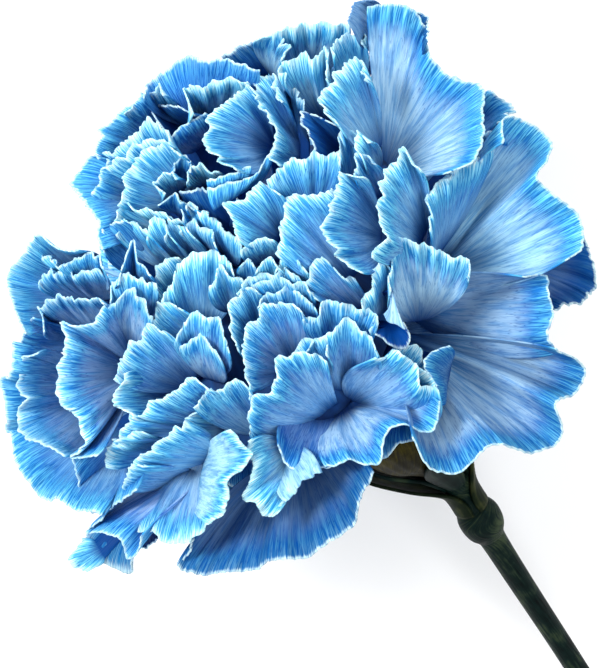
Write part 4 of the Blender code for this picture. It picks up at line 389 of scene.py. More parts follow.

# How a petal is coloured: tone from 0, cyan, to 1, violet blue; shade from 0, dark, to 1, partly the
# petal's own tone and partly painted shade where it lies in shadow or fills a dark gap; wash, how far
# its middle is pale; and fringe, how far the pale lines run in from its rim, in mm. The others take them
# at random from the spans of USUAL_LOOK. LINE_SHIFT lets the lines of no two petals be alike.
PETAL_LOOKS = {
    "tall": (0.3, 1.0, 1.0, 0.5), "tall_flap": (0.3, 0.6, 0.3, 0.4), "tall_roll": (0.3, 0.35, 0.0, 0.3),
    "tall_back": (0.5, 0.8, 0.2, 0.5), "right_wide": (0.15, 1.0, 0.85, 0.4),
    "right_fold": (0.2, 0.9, 0.2, 1.0), "right_back": (0.0, 0.2, 1.0, 0.4),
    "low_right_top": (0.4, 0.75, 0.8, 0.3), "low_right": (0.3, 0.6, 1.0, 0.25),
    "low_right_lip": (0.1, 0.5, 0.0, 0.4), "low_right_under": (0.3, 0.5, 0.0, 0.5),
    "throat_right": (0.35, 1.0, 0.5, 1.0), "throat_left": (0.3, 1.0, 0.35, 0.9),
    "throat_up": (0.35, 0.95, 0.3, 1.4), "throat_low_left": (0.8, 0.6, 0.3, 0.4),
    "throat_low": (0.35, 0.95, 1.0, 0.4), "low_left_curl": (0.0, 1.0, 0.6, 3.0),
    "low_left_roll": (0.0, 1.0, 1.0, 0.5), "peep": (0.0, 1.0, 0.7, 1.5), "mid_left": (0.3, 0.85, 0.1, 1.0),
    "mid_top": (0.0, 1.0, 0.7, 2.0), "mid_top_in": (0.0, 1.0, 0.7, 2.0), "tip_loop": (0.3, 0.0, 0.0, 0.6),
    "rolled_tip": (0.3, 1.0, 1.0, 0.3), "disc": (0.3, 0.85, 0.2, 1.6), "disc_right": (0.1, 1.0, 0.3, 2.2),
    "up_sliver": (0.1, 1.0, 0.5, 1.0), "up_tall": (0.1, 1.0, 0.4, 2.5), "up_dark": (0.6, 0.25, 0.0, 0.4),
    "up_wide": (0.6, 0.9, 0.1, 1.2), "great_fan": (0.25, 0.95, 0.2, 1.4),
    "fold_upper": (0.4, 1.0, 0.4, 0.5), "fold_lower": (0.4, 0.95, 0.4, 0.5),
    "grey_back": (0.4, 0.3, 0.1, 0.4), "top_blue": (0.3, 0.9, 0.1, 1.2), "top_dim": (0.2, 0.5, 0.0, 1.5),
    "top_white": (0.0, 1.0, 0.6, 3.5), "top_cyan": (0.0, 1.0, 0.6, 3.0), "top_edge": (0.1, 1.0, 0.8, 2.6),
    "top_bright": (0.0, 1.0, 0.7, 3.0), "top_navy": (0.3, 0.4, 0.0, 0.8), "top_left": (0.8, 0.8, 0.0, 0.6),
    "top_left_white": (0.0, 1.0, 0.6, 3.0), "top_left_dark": (0.6, 0.35, 0.0, 0.4),
    "kite": (0.8, 1.0, 0.8, 0.5), "left_edge_high": (0.2, 0.95, 0.2, 0.5),
    "left_ruffle": (0.1, 1.0, 0.3, 3.0), "left_ruffle_low": (0.1, 1.0, 0.2, 2.5),
    "left_edge": (0.3, 0.9, 0.2, 0.4), "left_edge_in": (0.3, 1.0, 0.5, 0.6),
    "left_fan": (0.0, 1.0, 0.3, 3.5), "left_curl": (0.1, 1.0, 0.6, 0.8),
    "left_curl_top": (0.2, 0.5, 0.2, 0.5), "left_curl_white": (0.0, 1.0, 0.8, 3.0),
    "left_curl_low": (0.3, 0.6, 0.0, 0.5), "left_strip": (0.0, 1.0, 0.7, 2.5),
    "left_pale_sliver": (0.4, 1.0, 0.6, 0.4), "left_blade_a": (0.0, 1.0, 0.5, 3.0),
    "left_blade_b": (0.0, 1.0, 0.4, 1.5), "left_low_edge": (0.3, 0.7, 0.0, 0.4),
    "left_finger": (0.3, 0.8, 0.2, 0.5), "pale_cap": (0.0, 1.0, 0.1, 3.0), "left_arc": (0.3, 0.9, 0.6, 1.2),
    "great_cup": (0.6, 0.95, 0.6, 1.0), "far_left_low": (0.5, 0.85, 0.5, 1.0),
    "far_left": (0.3, 0.8, 0.1, 0.6), "lobe": (0.2, 0.9, 0.3, 0.8), "lobe_top": (0.2, 0.9, 0.3, 0.7),
    "waist": (0.3, 0.7, 0.1, 0.4), "low_edge": (0.2, 0.95, 0.2, 0.6), "low_facet": (0.5, 0.85, 0.2, 0.6),
    "low_fan": (0.35, 0.85, 0.2, 1.0), "low_tube_back": (0.1, 0.4, 0.0, 1.6),
    "low_tube_tip": (0.1, 1.0, 0.4, 2.0), "low_tube": (0.7, 1.0, 0.8, 0.6),
    "low_skirt": (0.3, 1.0, 0.7, 1.5), "low_hole": (0.2, 0.2, 0.0, 0.3),
    "bright_fold": (0.0, 1.0, 0.9, 3.0), "bottom": (0.3, 0.35, 0.6, 0.7),
    "under": (0.5, 0.6, 0.1, 0.5),
}
USUAL_LOOK = ((0.1, 0.6), (0.8, 1.0), (0.1, 0.9), (1.2, 3.2))
LINE_SHIFT = 60.0

# The petals of the far side, each turned by the golden angle from the last one, two of them shorter than
# the rest. The same turns give short petals under the outer ones of the near side: UNDER_FROM_HEAD is how
# far from the head's axis they start, and UNDER_FACING how much they may face the camera.
GOLDEN_ANGLE = math.radians(137.508)
DOME_PETALS = 44
DOME_EDGE = math.radians(102.0)
DOME_RADIUS = 41.0
FAR_SIDE = -0.12
FAR_PETAL_SPREAD = 13.0
FAR_PETAL_FOOT = 0.42
FAR_PETAL_CORNERS = 0.93
SHORT_FAR_PETALS = {15: 0.94, 20: 0.86}
FAR_FOLDS, FAR_FOLD_DEPTH = 3, 1.2
UNDER_FROM_HEAD, UNDER_FACING = math.radians(70.0), 0.45
UNDER_REACH = 26.0
LEAN = math.radians(16.0)

# How unlike each other the far petals are: how much, and how fast it changes from one to the next
UNEVEN_TILT = (0.5, 2.4)
UNEVEN_REACH = (0.05, 1.7)
UNEVEN_TURN = (0.25, 2.1)
UNEVEN_RISE = (0.06, 3.3)

# Guard petals: the outermost ring, spread flat all round behind the others
GUARD_PETALS = 11
GUARD_FROM_HEAD = math.radians(93.0)
GUARD_REACH = 31.0
GUARD_REACH_TO_FAR_SIDE = 8.0
GUARD_REACH_LOST_LOW = 3.0
GUARD_SPREAD = 0.35
GUARD_CORNERS = 0.9
GUARD_FOOT, GUARD_FOOT_HALF_WIDTH = 9.0, 2.5
GUARD_FOLDS, GUARD_FOLD_DEPTH = 2.5, 1.3

# The calyx from its foot to its mouth, as places behind the bloom's middle with the radius there; its wall
# and the floor of its inside; its fine ribs; and its teeth
CALYX_WALL = 1.0
CALYX_OUTSIDE = ((30.0, 1.7), (28.0, 2.3), (25.5, 3.2), (23.0, 4.6), (20.0, 6.5), (15.0, 7.9),
                 (10.0, 8.5), (6.0, 8.8))
CALYX_FLOOR = 23.0
CALYX_SIDES, CALYX_RIBS, RIB_HEIGHT = 120, 30, 0.05
TEETH, TOOTH_ROWS, TOOTH_START, TOOTH_TAPER = 5, 7, 0.15, 1.1
TOOTH_LENGTH = 5.5
TOOTH_SPLAY = math.radians(30.0)

# Columns of points across a scale or a leaf
BLADE_COLUMNS = 17

# The four scales: where they start and end behind the bloom's middle, how they stand off the calyx and,
# at their root, off the stem; and their outline, as places along them with their share of the full width
BRACT_THICKNESS = 0.5
BRACT_FOOT, BRACT_TIP = 30.2, 20.0
BRACT_LIFT, BRACT_FLARE = 0.6, 1.5
BRACT_ROOT_RADIUS, BRACT_ROOT_SLOPE = 1.7, 2.0
BRACT_HALF_ANGLE = math.radians(38.0)
BRACT_SPLAYS = (0.6, 0.3, 0.5, 0.2)
BRACT_OUTLINE = ((-0.1, 0.6), (0.0, 0.8), (0.2, 1.0), (0.45, 0.95), (0.75, 0.6), (1.0, 0.08))

# The stem: the way it runs up to the calyx, places down it with the radius there, and its slanting cut
STEM_RISE = math.radians(19.6)
STEM_TURN = math.radians(9.1)
STEM_WAY = np.array((-math.cos(STEM_RISE) * math.sin(STEM_TURN),
                     -math.cos(STEM_RISE) * math.cos(STEM_TURN), math.sin(STEM_RISE)))
STEM_PROFILE = ((0.35, 2.2), (1.5, 2.1), (2.8, 1.75), (5.7, 1.75), (6.6, 2.45), (7.8, 2.95), (9.2, 3.0),
                (10.6, 2.75), (11.8, 2.15), (13.0, 1.85), (20.0, 1.7), (34.0, 1.55), (55.0, 1.5))
STEM_END = 69.8
STEM_CUT, CUT_LENGTH = 0.9, 4.0
STEM_SIDES, STEM_WAVE = 40, 0.02

# The leaves: the way the left one stands off, right and up as it is seen; and places down the stem with
# the distance from its axis, the radius of the leaf's curl and half the angle of that curl, in degrees
LEAF_THICKNESS = 0.45
LEAF_WAY = (-0.836, -0.549)
LEFT_LEAF = ((6.0, 2.33, 2.33, 78), (3.8, 2.33, 2.33, 78), (2.0, 2.6, 2.4, 62), (0.5, 3.6, 2.6, 46),
             (-1.5, 5.4, 3.2, 34), (-3.5, 7.0, 3.8, 27), (-7.0, 9.6, 4.0, 24), (-11.5, 12.3, 4.0, 18),
             (-16.0, 14.2, 4.0, 3))
RIGHT_LEAF = ((6.0, 2.33, 2.33, 78), (3.8, 2.33, 2.33, 78), (2.0, 2.5, 2.5, 62), (0.0, 3.1, 3.1, 42),
              (-3.0, 4.3, 4.2, 28), (-6.0, 5.9, 5.0, 20), (-9.0, 7.7, 5.0, 14), (-11.5, 9.2, 5.0, 3))


def unit(vector):
    return vector / np.linalg.norm(vector)


def view_frame():
    """Right, up and toward the eye, as the bloom is seen."""
    toward = np.array((0.0, -math.cos(HEAD_RISE + VIEW_TURN), math.sin(HEAD_RISE + VIEW_TURN)))
    along = unit(HEAD - HEAD.dot(toward) * toward)
    across = np.cross(toward, along)
    right = math.cos(VIEW_ROLL) * along - math.sin(VIEW_ROLL) * across
    return right, np.cross(toward, right), toward


RIGHT, UP, TOWARD = view_frame()
HEAD_SIDE = unit(np.cross(HEAD, (0.0, 0.0, 1.0)))
HEAD_FRONT = np.cross(HEAD_SIDE, HEAD)
CALYX_FOOT = -CALYX_OUTSIDE[0][0] * HEAD
LEAF_SIDE = LEAF_WAY[0] * RIGHT + LEAF_WAY[1] * UP


def ring_way(angle):
    """The way out from the head's axis at an angle round it."""
    return math.cos(angle) * HEAD_SIDE + math.sin(angle) * HEAD_FRONT


def off_head(polar, outward):
    """The way at an angle from the head's axis."""
    return math.cos(polar) * HEAD + math.sin(polar) * outward


def on_side_of(way, normal):
    """The normal, or its opposite if that is the one on the way's side."""
    return -normal if normal.dot(way) < 0 else normal


def seen_point(place, reach):
    """The point that is seen at a place and lies so far from the bloom's middle."""
    depth = math.sqrt(max(0.0, reach ** 2 - place[0] ** 2 - place[1] ** 2))
    nearer = 1.0 - depth / EYE_DISTANCE
    return nearer * (place[0] * RIGHT + place[1] * UP) + depth * TOWARD


def seen_petal(row):
    """Name, foot, its half width, places of the rim, folds, depth, bow and front of a seen petal."""
    name, foot_reach, rim_reach, foot, folds, depth, rim = row
    half_width = foot[2] if len(foot) == 3 else FOOT_HALF_WIDTH
    places = [seen_point(place, place[2] if len(place) == 3 else rim_reach) for place in rim]
    bow = SIDE_BOWS.get(name, SIDE_BOW)
    return name, seen_point(foot, foot_reach), half_width, places, folds, depth, bow, TOWARD


def uneven(change, i):
    """How much the petal of a number differs from the usual one."""
    return change[0] * math.sin(change[1] * i)


def far_petals():
    """The same for the far side's petals, and for short ones under the near side's outer petals."""
    for i in range(DOME_PETALS):
        polar = math.acos(1 - (i + 0.5) / DOME_PETALS * (1 - math.cos(DOME_EDGE)))
        turn = i * GOLDEN_ANGLE
        outward = ring_way(turn)
        way = off_head(polar, outward)
        facing = way.dot(TOWARD)
        name, reach = ("far", DOME_RADIUS) if facing <= FAR_SIDE else ("under", UNDER_REACH)
        if name == "under" and (polar < UNDER_FROM_HEAD or facing > UNDER_FACING):
            continue
        foot_way = off_head(max(0.0, polar - LEAN), outward)
        tangent = unit(np.cross(HEAD, outward))
        tilt = uneven(UNEVEN_TILT, i)
        across = math.cos(tilt) * tangent + math.sin(tilt) * unit(np.cross(way, tangent))
        reach *= (1.0 - uneven(UNEVEN_REACH, i)) * SHORT_FAR_PETALS.get(i, 1.0)
        middle = reach * way
        ends = [FAR_PETAL_CORNERS * middle + s * FAR_PETAL_SPREAD * across for s in (-1, 1)]
        foot = FAR_PETAL_FOOT * reach * foot_way
        rim = [ends[0], middle, ends[1]]
        yield name, foot, FOOT_HALF_WIDTH, rim, FAR_FOLDS, FAR_FOLD_DEPTH, SIDE_BOW, HEAD


def guard_petals():
    """The same for the outermost ring."""
    for i in range(GUARD_PETALS):
        turn = 2 * math.pi * (i + uneven(UNEVEN_TURN, i)) / GUARD_PETALS
        polar = GUARD_FROM_HEAD + uneven(UNEVEN_RISE, i)
        outward = ring_way(turn)
        tangent = np.cross(HEAD, outward)
        way = off_head(polar, outward)
        reach = GUARD_REACH - GUARD_REACH_TO_FAR_SIDE * way.dot(TOWARD) / math.sin(VIEW_TURN)
        reach += min(0.0, way.dot(UP)) * GUARD_REACH_LOST_LOW
        ends = [reach * (GUARD_CORNERS * way + s * GUARD_SPREAD * tangent) for s in (-1, 1)]
        foot = GUARD_FOOT * outward + HEAD
        rim = [ends[0], reach * way, ends[1]]
        yield "guard", foot, GUARD_FOOT_HALF_WIDTH, rim, GUARD_FOLDS, GUARD_FOLD_DEPTH, SIDE_BOW, HEAD


def uneven_wave(rng, x, spacing, sharp=False):
    """Heights from -1 to 1 that rise and fall at uneven steps along x."""
    count = int((x[-1] - x[0]) / spacing) * 2 + 8
    knots = x[0] - 2 * spacing + np.cumsum(spacing * rng.uniform(0.55, 1.45, count))
    heights = rng.uniform(0.3, 1.0, count) * np.where(np.arange(count) % 2, 1.0, -1.0)
    if sharp:
        return np.interp(x, knots, heights)
    after = np.clip(np.searchsorted(knots, x), 1, count - 1)
    share = np.clip((x - knots[after - 1]) / (knots[after] - knots[after - 1]), 0.0, 1.0)
    ease = (1.0 - np.cos(math.pi * share)) / 2
    return heights[after - 1] + ease * (heights[after] - heights[after - 1])


def smooth_curve(places, count):
    """So many points on a smooth curve through the places."""
    places = np.array(places)
    steps = np.linalg.norm(np.diff(places, axis=0), axis=1)
    knots = np.concatenate(((0.0,), np.cumsum(steps)))
    slopes = np.gradient(places, knots, axis=0)
    distance = np.linspace(0.0, knots[-1], count)
    before = np.clip(np.searchsorted(knots, distance, side="right") - 1, 0, len(steps) - 1)
    step = steps[before][:, None]
    share = (distance - knots[before])[:, None] / step
    start, end = places[before], places[before + 1]
    start_slope, end_slope = slopes[before] * step, slopes[before + 1] * step
    rest = 1.0 - share
    return (rest ** 2 * ((1 + 2 * share) * start + share * start_slope)
            + share ** 2 * ((1 + 2 * rest) * end - rest * end_slope))


def petal_surface(foot, half_width, rim, folds, depth, bow, front, index, steps, rim_depth):
    """Rows of a petal's middle surface from claw to rim, and each point's place across and from the rim."""
    side = unit(rim[-1] - rim[0])
    middle = np.mean(rim, axis=0)
    normal = on_side_of(front, unit(np.cross(side, middle - foot)))
    width = np.linalg.norm(np.diff(np.array(rim), axis=0), axis=1).sum()
    length = np.linalg.norm(middle - foot)
    rng = np.random.default_rng(WAVE_SEED + index)
    columns = max(FEWEST_COLUMNS, int(width / steps[0])) + 1
    rows = max(FEWEST_ROWS, int(length / steps[1])) + 1
    u = np.linspace(-1, 1, columns)
    t = (1 - (1 - np.linspace(0, 1, rows)) ** ROW_CROWDING)[:, None]
    x = u * width / 2

    start = foot + u[:, None] * half_width * side
    along = smooth_curve(rim, len(u)) - start
    run = np.linalg.norm(along, axis=1)
    way = along / run[:, None]
    from_rim = (1 - t) * run
    edge = np.clip(1 - from_rim / TOOTH_ZONE, 0, 1)
    lip = np.clip(1 - from_rim / CURL_ZONE, 0, 1)

    teeth = rim_depth * TOOTH_DEPTH * (0.5 - 0.5 * uneven_wave(rng, x, TOOTH_SPACING, True))
    teeth = teeth + rim_depth * FRINGE_DEPTH * (0.5 - 0.5 * uneven_wave(rng, x, FRINGE_SPACING, True))
    teeth = teeth * edge ** TOOTH_GROWTH
    lobes = rim_depth * LOBE_DEPTH * uneven_wave(rng, x, LOBE_SPACING)
    forward = lobes * t ** LOBE_GROWTH - teeth
    ruffle = rim_depth * RUFFLE_DEPTH * uneven_wave(rng, x, RUFFLE_SPACING) * t ** RUFFLE_GROWTH
    ripple = RIPPLE_DEPTH * uneven_wave(rng, x, RIPPLE_SPACING) * t ** RIPPLE_GROWTH
    curl = rng.uniform(*CURL_DEPTHS) * lip ** 2
    fold = depth * t ** FOLD_GROWTH * np.sin(math.pi * folds * u + FOLD_SHIFT * index)
    arch = 4 * t * (1 - t)
    outward = fold + ARCH * length * arch + ruffle + ripple - curl
    out = unit(normal + TO_FRONT * front)
    surface = start + t[..., None] * along + forward[..., None] * way + outward[..., None] * out
    sideways = np.cross(normal, along)
    sideways *= np.sign(sideways @ side)[:, None]
    bow = np.where(u < 0, bow[0], bow[1])
    surface += (bow * arch * u * np.abs(u))[..., None] * sideways

    root = ROOT_AHEAD * HEAD
    sunk = root + min(MOST_SUNK, SUNK_REACH / np.linalg.norm(foot - root)) * (foot - root)
    claw = sunk + CLAW_WIDTH * u[:, None] * FOOT_HALF_WIDTH * side
    shares = np.array(CLAW_ROWS)[:, None, None]
    surface = np.concatenate(((1 - shares) * claw + shares * surface[0], surface))
    behind = run + np.linalg.norm(surface[:FOOT_ROW] - surface[FOOT_ROW], axis=2)
    from_rim = np.concatenate((behind, from_rim - teeth))
    return surface, np.broadcast_to(x, from_rim.shape), np.maximum(from_rim, 0.0)


def press_down(surface):
    """Petals that would reach below the floor are pressed back to it."""
    height = surface[:, :, 2] + BLOOM_MIDDLE[2]
    pressed = PRESSED_TO + PRESS_SOFTNESS * np.logaddexp(0.0, (height - PRESSED_TO) / PRESS_SOFTNESS)
    surface[:, :, 2] = pressed - BLOOM_MIDDLE[2]
    return surface


def sheet_faces(rows, columns, first=0):
    """Quads of both faces of a thin sheet and of its edge, from the first vertex's number."""
    r, c = np.meshgrid(np.arange(rows - 1), np.arange(columns - 1), indexing="ij")
    a = (r * columns + c).ravel()
    front = np.stack((a, a + 1, a + columns + 1, a + columns), axis=1)
    back = front[:, ::-1] + rows * columns
    ring = np.concatenate((np.arange(columns), np.arange(2, rows) * columns - 1,
                           rows * columns - 1 - np.arange(columns), np.arange(rows - 2, 0, -1) * columns))
    following = np.roll(ring, -1)
    edge = np.stack((following, ring, ring + rows * columns, following + rows * columns), axis=1)
    return np.concatenate((front, back, edge)) + first


def sheet_points(surface, thickness):
    """Points of both faces of a thin sheet round a middle surface."""
    across, along = np.gradient(surface, axis=1), np.gradient(surface, axis=0)
    normals = np.cross(across, along)
    normals /= np.maximum(np.linalg.norm(normals, axis=2, keepdims=True), 1e-9)
    offset = normals * thickness / 2
    return np.concatenate(((surface + offset).reshape(-1, 3), (surface - offset).reshape(-1, 3)))


def new_object(name, data):
    """An object of the scene."""
    item = bpy.data.objects.new(name, data)
    bpy.context.scene.collection.objects.link(item)
    return item


def new_piece(name, points, faces, material, node, uv=None, look=None, lines=None):
    """A smooth piece from points in mm round the bloom's middle, which rides on the flower."""
    mesh = bpy.data.meshes.new(name)
    faces = [tuple(face) for face in faces]
    mesh.from_pydata(((np.asarray(points) + BLOOM_MIDDLE) * MM).tolist(), [], faces)
    corners = np.empty(len(mesh.loops), dtype=np.int32)
    mesh.loops.foreach_get("vertex_index", corners)
    for map_name, places in (("petal", uv), ("lines", lines)):
        if places is not None:
            layer = mesh.uv_layers.new(name=map_name)
            layer.data.foreach_set("uv", np.asarray(places, dtype=np.float32)[corners].ravel())
    if look is not None:
        colours = mesh.color_attributes.new("look", "FLOAT_COLOR", "POINT")
        colours.data.foreach_set("color", np.asarray(look, dtype=np.float32).ravel())
    mesh.materials.append(material)
    mesh.shade_smooth()
    mesh.validate()
    piece = new_object(name, mesh)
    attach(piece, "root")
    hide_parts(node)
    return piece


def petal_group(name, petals, first_index, steps, material):
    """All petals of one region as one piece."""
    points, faces, uv, look, lines = [], [], [], [], []
    count = 0
    for index, (petal_name, *shape) in enumerate(petals, first_index):
        surface, across, from_rim = petal_surface(*shape, index, steps, EVEN_RIMS.get(petal_name, 1.0))
        sheet = sheet_points(press_down(surface), PETAL_THICKNESS)
        faces.append(sheet_faces(*surface.shape[:2], count))
        count += len(sheet)
        points.append(sheet)
        past_dye = PAST_DYE if petal_name in UNDERSIDES else 0.0
        place = np.stack((across.ravel(), from_rim.ravel() + past_dye), axis=1)
        uv += [place, place]
        rng = np.random.default_rng(LOOK_SEED + index)
        usual = [rng.uniform(*span) for span in USUAL_LOOK]
        tone, shade, wash, fringe = PETAL_LOOKS.get(petal_name, usual)
        # Painted shade near the foot, where the petals crowd deep in the bloom, rides in the look's fourth
        # number
        at_foot = from_rim[FOOT_ROW]
        shaded = FOOT_PAINTED_SHADES.get(petal_name, np.minimum(FOOT_PAINTED_SHADE, MOST_PAINTED_SHADE * at_foot))
        painted_foot_shade = np.clip(1.0 - (at_foot - from_rim) / shaded, 0.0, 1.0).ravel()
        colours = np.tile((tone, shade, wash, 1.0), (len(sheet), 1))
        colours[:, 3] = np.tile(painted_foot_shade, 2)
        look.append(colours)
        lines.append(np.tile((fringe, rng.uniform(0.0, LINE_SHIFT)), (len(sheet), 1)))
    return new_piece(name, np.concatenate(points), np.concatenate(faces), material, "bloom",
                     np.concatenate(uv), np.concatenate(look), np.concatenate(lines))


def petals(material):
    index = 0
    for region, rows in SEEN_PETALS.items():
        group = [seen_petal(row) for row in rows]
        petal_group("petals_" + region, group, index, (COLUMN_STEP, ROW_STEP), material)
        index += len(group)
    for name, group in (("petals_far_side", list(far_petals())), ("petals_guard", list(guard_petals()))):
        petal_group(name, group, index, (FAR_COLUMN_STEP, FAR_ROW_STEP), material)
        index += len(group)


def smooth_rows(rows, steps):
    """More rows between the given ones, on a smooth curve through them."""
    rows = np.asarray(rows, dtype=float)
    padded = np.concatenate((2 * rows[:1] - rows[1:2], rows, 2 * rows[-1:] - rows[-2:-1]))
    result = []
    for k in range(1, len(padded) - 2):
        p0, p1, p2, p3 = padded[k - 1:k + 3]
        for s in np.arange(steps) / steps:
            result.append(0.5 * (2 * p1 + (p2 - p0) * s + (2 * p0 - 5 * p1 + 4 * p2 - p3) * s ** 2
                                 + (3 * p1 - p0 - 3 * p2 + p3) * s ** 3))
    return np.array(result + [rows[-1]])


def tube_faces(rings, sides):
    """Quads between rings of points, with both ends closed."""
    faces = []
    for k in range(rings - 1):
        for i in range(sides):
            j = (i + 1) % sides
            faces.append((k * sides + i, k * sides + j, (k + 1) * sides + j, (k + 1) * sides + i))
    faces.append(tuple(range(sides))[::-1])
    faces.append(tuple((rings - 1) * sides + i for i in range(sides)))
    return faces


def core(material):
    """The crowded middle, in painted shade between the petals, and the neck inside the calyx."""
    profile = smooth_rows(CORE_PROFILE, 4)
    dent_way = unit(sum(share * axis for share, axis in zip(DENT_WAY, (RIGHT, UP, TOWARD))))
    points, uv = [], []
    for along, radius in profile:
        for i in range(CORE_SIDES):
            outward = ring_way(2 * math.pi * i / CORE_SIDES)
            place = along * HEAD + max(LEAST_CORE_RADIUS, radius) * outward
            if along > DENT_FROM:
                place = (1.0 - DENT_DEPTH * max(0.0, unit(place).dot(dent_way)) ** 3) * place
            points.append(place)
            uv.append((i, along))
    faces = tube_faces(len(profile), CORE_SIDES)
    return new_piece("bloom_core", points, faces, material, "bloom", uv)


def calyx_radius(behind):
    """The calyx's outer radius at a distance behind the bloom's middle."""
    distances, radii = np.array(CALYX_OUTSIDE)[::-1].T
    return float(np.interp(behind, distances, radii))


def calyx(material):
    """The tube of the calyx with fine ribs, its teeth and its inside."""
    outside = smooth_rows(CALYX_OUTSIDE, 4)
    inside = [(behind, radius - CALYX_WALL) for behind, radius in outside[::-1] if behind <= CALYX_FLOOR]
    mouth_behind, mouth_radius = CALYX_OUTSIDE[-1]
    outer_teeth = [(mouth_behind, mouth_radius, share)
                   for share in np.linspace(TOOTH_START, 1.0, TOOTH_ROWS)]
    inner_teeth = [(mouth_behind, mouth_radius - CALYX_WALL * (1.0 - 0.5 * share), share)
                   for share in np.linspace(1.0, 0.0, TOOTH_ROWS)]
    rows = [(behind, radius, 0.0) for behind, radius in outside] + outer_teeth + inner_teeth
    rows += [(behind, radius, 0.0) for behind, radius in inside]
    points, uv = [], []
    for k, (behind, radius, share) in enumerate(rows):
        for i in range(CALYX_SIDES):
            angle = 2 * math.pi * i / CALYX_SIDES
            place = (i * TEETH / CALYX_SIDES) % 1.0
            rise = share * TOOTH_LENGTH * (1.0 - abs(2.0 * place - 1.0)) ** TOOTH_TAPER
            rib = RIB_HEIGHT * math.sin(CALYX_RIBS * angle) if k < len(outside) else 0.0
            out = radius + rib + rise * math.sin(TOOTH_SPLAY)
            points.append((rise * math.cos(TOOTH_SPLAY) - behind) * HEAD + out * ring_way(angle))
            uv.append((radius * angle, behind - rise))
    faces = tube_faces(len(rows), CALYX_SIDES)
    return new_piece("calyx_tube", points, faces, material, "calyx", uv)


def blade(name, surface, thickness, material, node):
    """A thin sheet of leaf, with each point's place across and along it."""
    rows, columns = surface.shape[:2]
    points = sheet_points(surface, thickness)
    across = np.broadcast_to(np.linspace(-1, 1, columns), (rows, columns))
    along = np.broadcast_to(np.linspace(0, 1, rows)[:, None], (rows, columns))
    place = np.stack((across.ravel(), along.ravel()), axis=1)
    uv = np.concatenate((place, place))
    return new_piece(name, points, sheet_faces(rows, columns), material, node, uv)


def bracts(material):
    """The four scales at the calyx's foot."""
    first_turn = math.atan2(LEAF_SIDE.dot(HEAD_FRONT), LEAF_SIDE.dot(HEAD_SIDE))
    for number, splay in enumerate(BRACT_SPLAYS):
        turn = first_turn + number * math.pi / 2
        grid = []
        for t, share in smooth_rows(BRACT_OUTLINE, 5):
            behind = BRACT_FOOT + (BRACT_TIP - BRACT_FOOT) * t
            if t >= 0:
                radius = calyx_radius(behind) + BRACT_LIFT + splay * t ** BRACT_FLARE
            else:
                radius = BRACT_ROOT_RADIUS - BRACT_ROOT_SLOPE * t
            angles = turn + np.linspace(-1, 1, BLADE_COLUMNS) * share * BRACT_HALF_ANGLE
            grid.append([radius * ring_way(angle) - behind * HEAD for angle in angles])
        blade(f"bract_{number + 1}", np.array(grid), BRACT_THICKNESS, material, "stem")


def stem(material):
    """The stem with its swollen joint and its slanting cut end."""
    profile = smooth_rows([*STEM_PROFILE, (STEM_END, STEM_PROFILE[-1][1])], 5)
    first = unit(np.cross(STEM_WAY, (0.3, 0.2, 1.0)))
    second = np.cross(STEM_WAY, first)
    points, uv = [], []
    for distance, radius in profile:
        centre = CALYX_FOOT - distance * STEM_WAY
        in_cut = max(0.0, distance - STEM_END + CUT_LENGTH) / CUT_LENGTH
        for i in range(STEM_SIDES):
            angle = 2 * math.pi * i / STEM_SIDES
            wave = 1.0 + STEM_WAVE * math.sin(3 * angle + 0.2 * distance)
            out = radius * wave * (math.cos(angle) * first + math.sin(angle) * second)
            point = centre + out + STEM_CUT * in_cut * out[2] * STEM_WAY
            point[2] = max(point[2], -BLOOM_MIDDLE[2])
            points.append(point)
            uv.append((radius * angle, distance))
    faces = tube_faces(len(profile), STEM_SIDES)
    return new_piece("stem_rod", points, faces, material, "stem", uv)


def leaf(name, rows, sign, material):
    """A narrow leaf whose foot clasps the stem above the swelling."""
    out = sign * unit(LEAF_SIDE - LEAF_SIDE.dot(STEM_WAY) * STEM_WAY)
    across = np.cross(STEM_WAY, out)
    rows = smooth_rows(rows, 5)
    line = np.array([CALYX_FOOT - distance * STEM_WAY + away * out for distance, away, _, _ in rows])
    ways = np.gradient(line, axis=0)
    grid = []
    for place, way, (_, _, curl, half_angle) in zip(line, ways, rows):
        normal = on_side_of(out, unit(np.cross(across, unit(way))))
        angles = np.radians(half_angle) * np.linspace(-1, 1, BLADE_COLUMNS)
        grid.append([place + curl * ((math.cos(a) - 1) * normal + math.sin(a) * across) for a in angles])
    return blade(name + "_blade", np.array(grid), LEAF_THICKNESS, material, name)


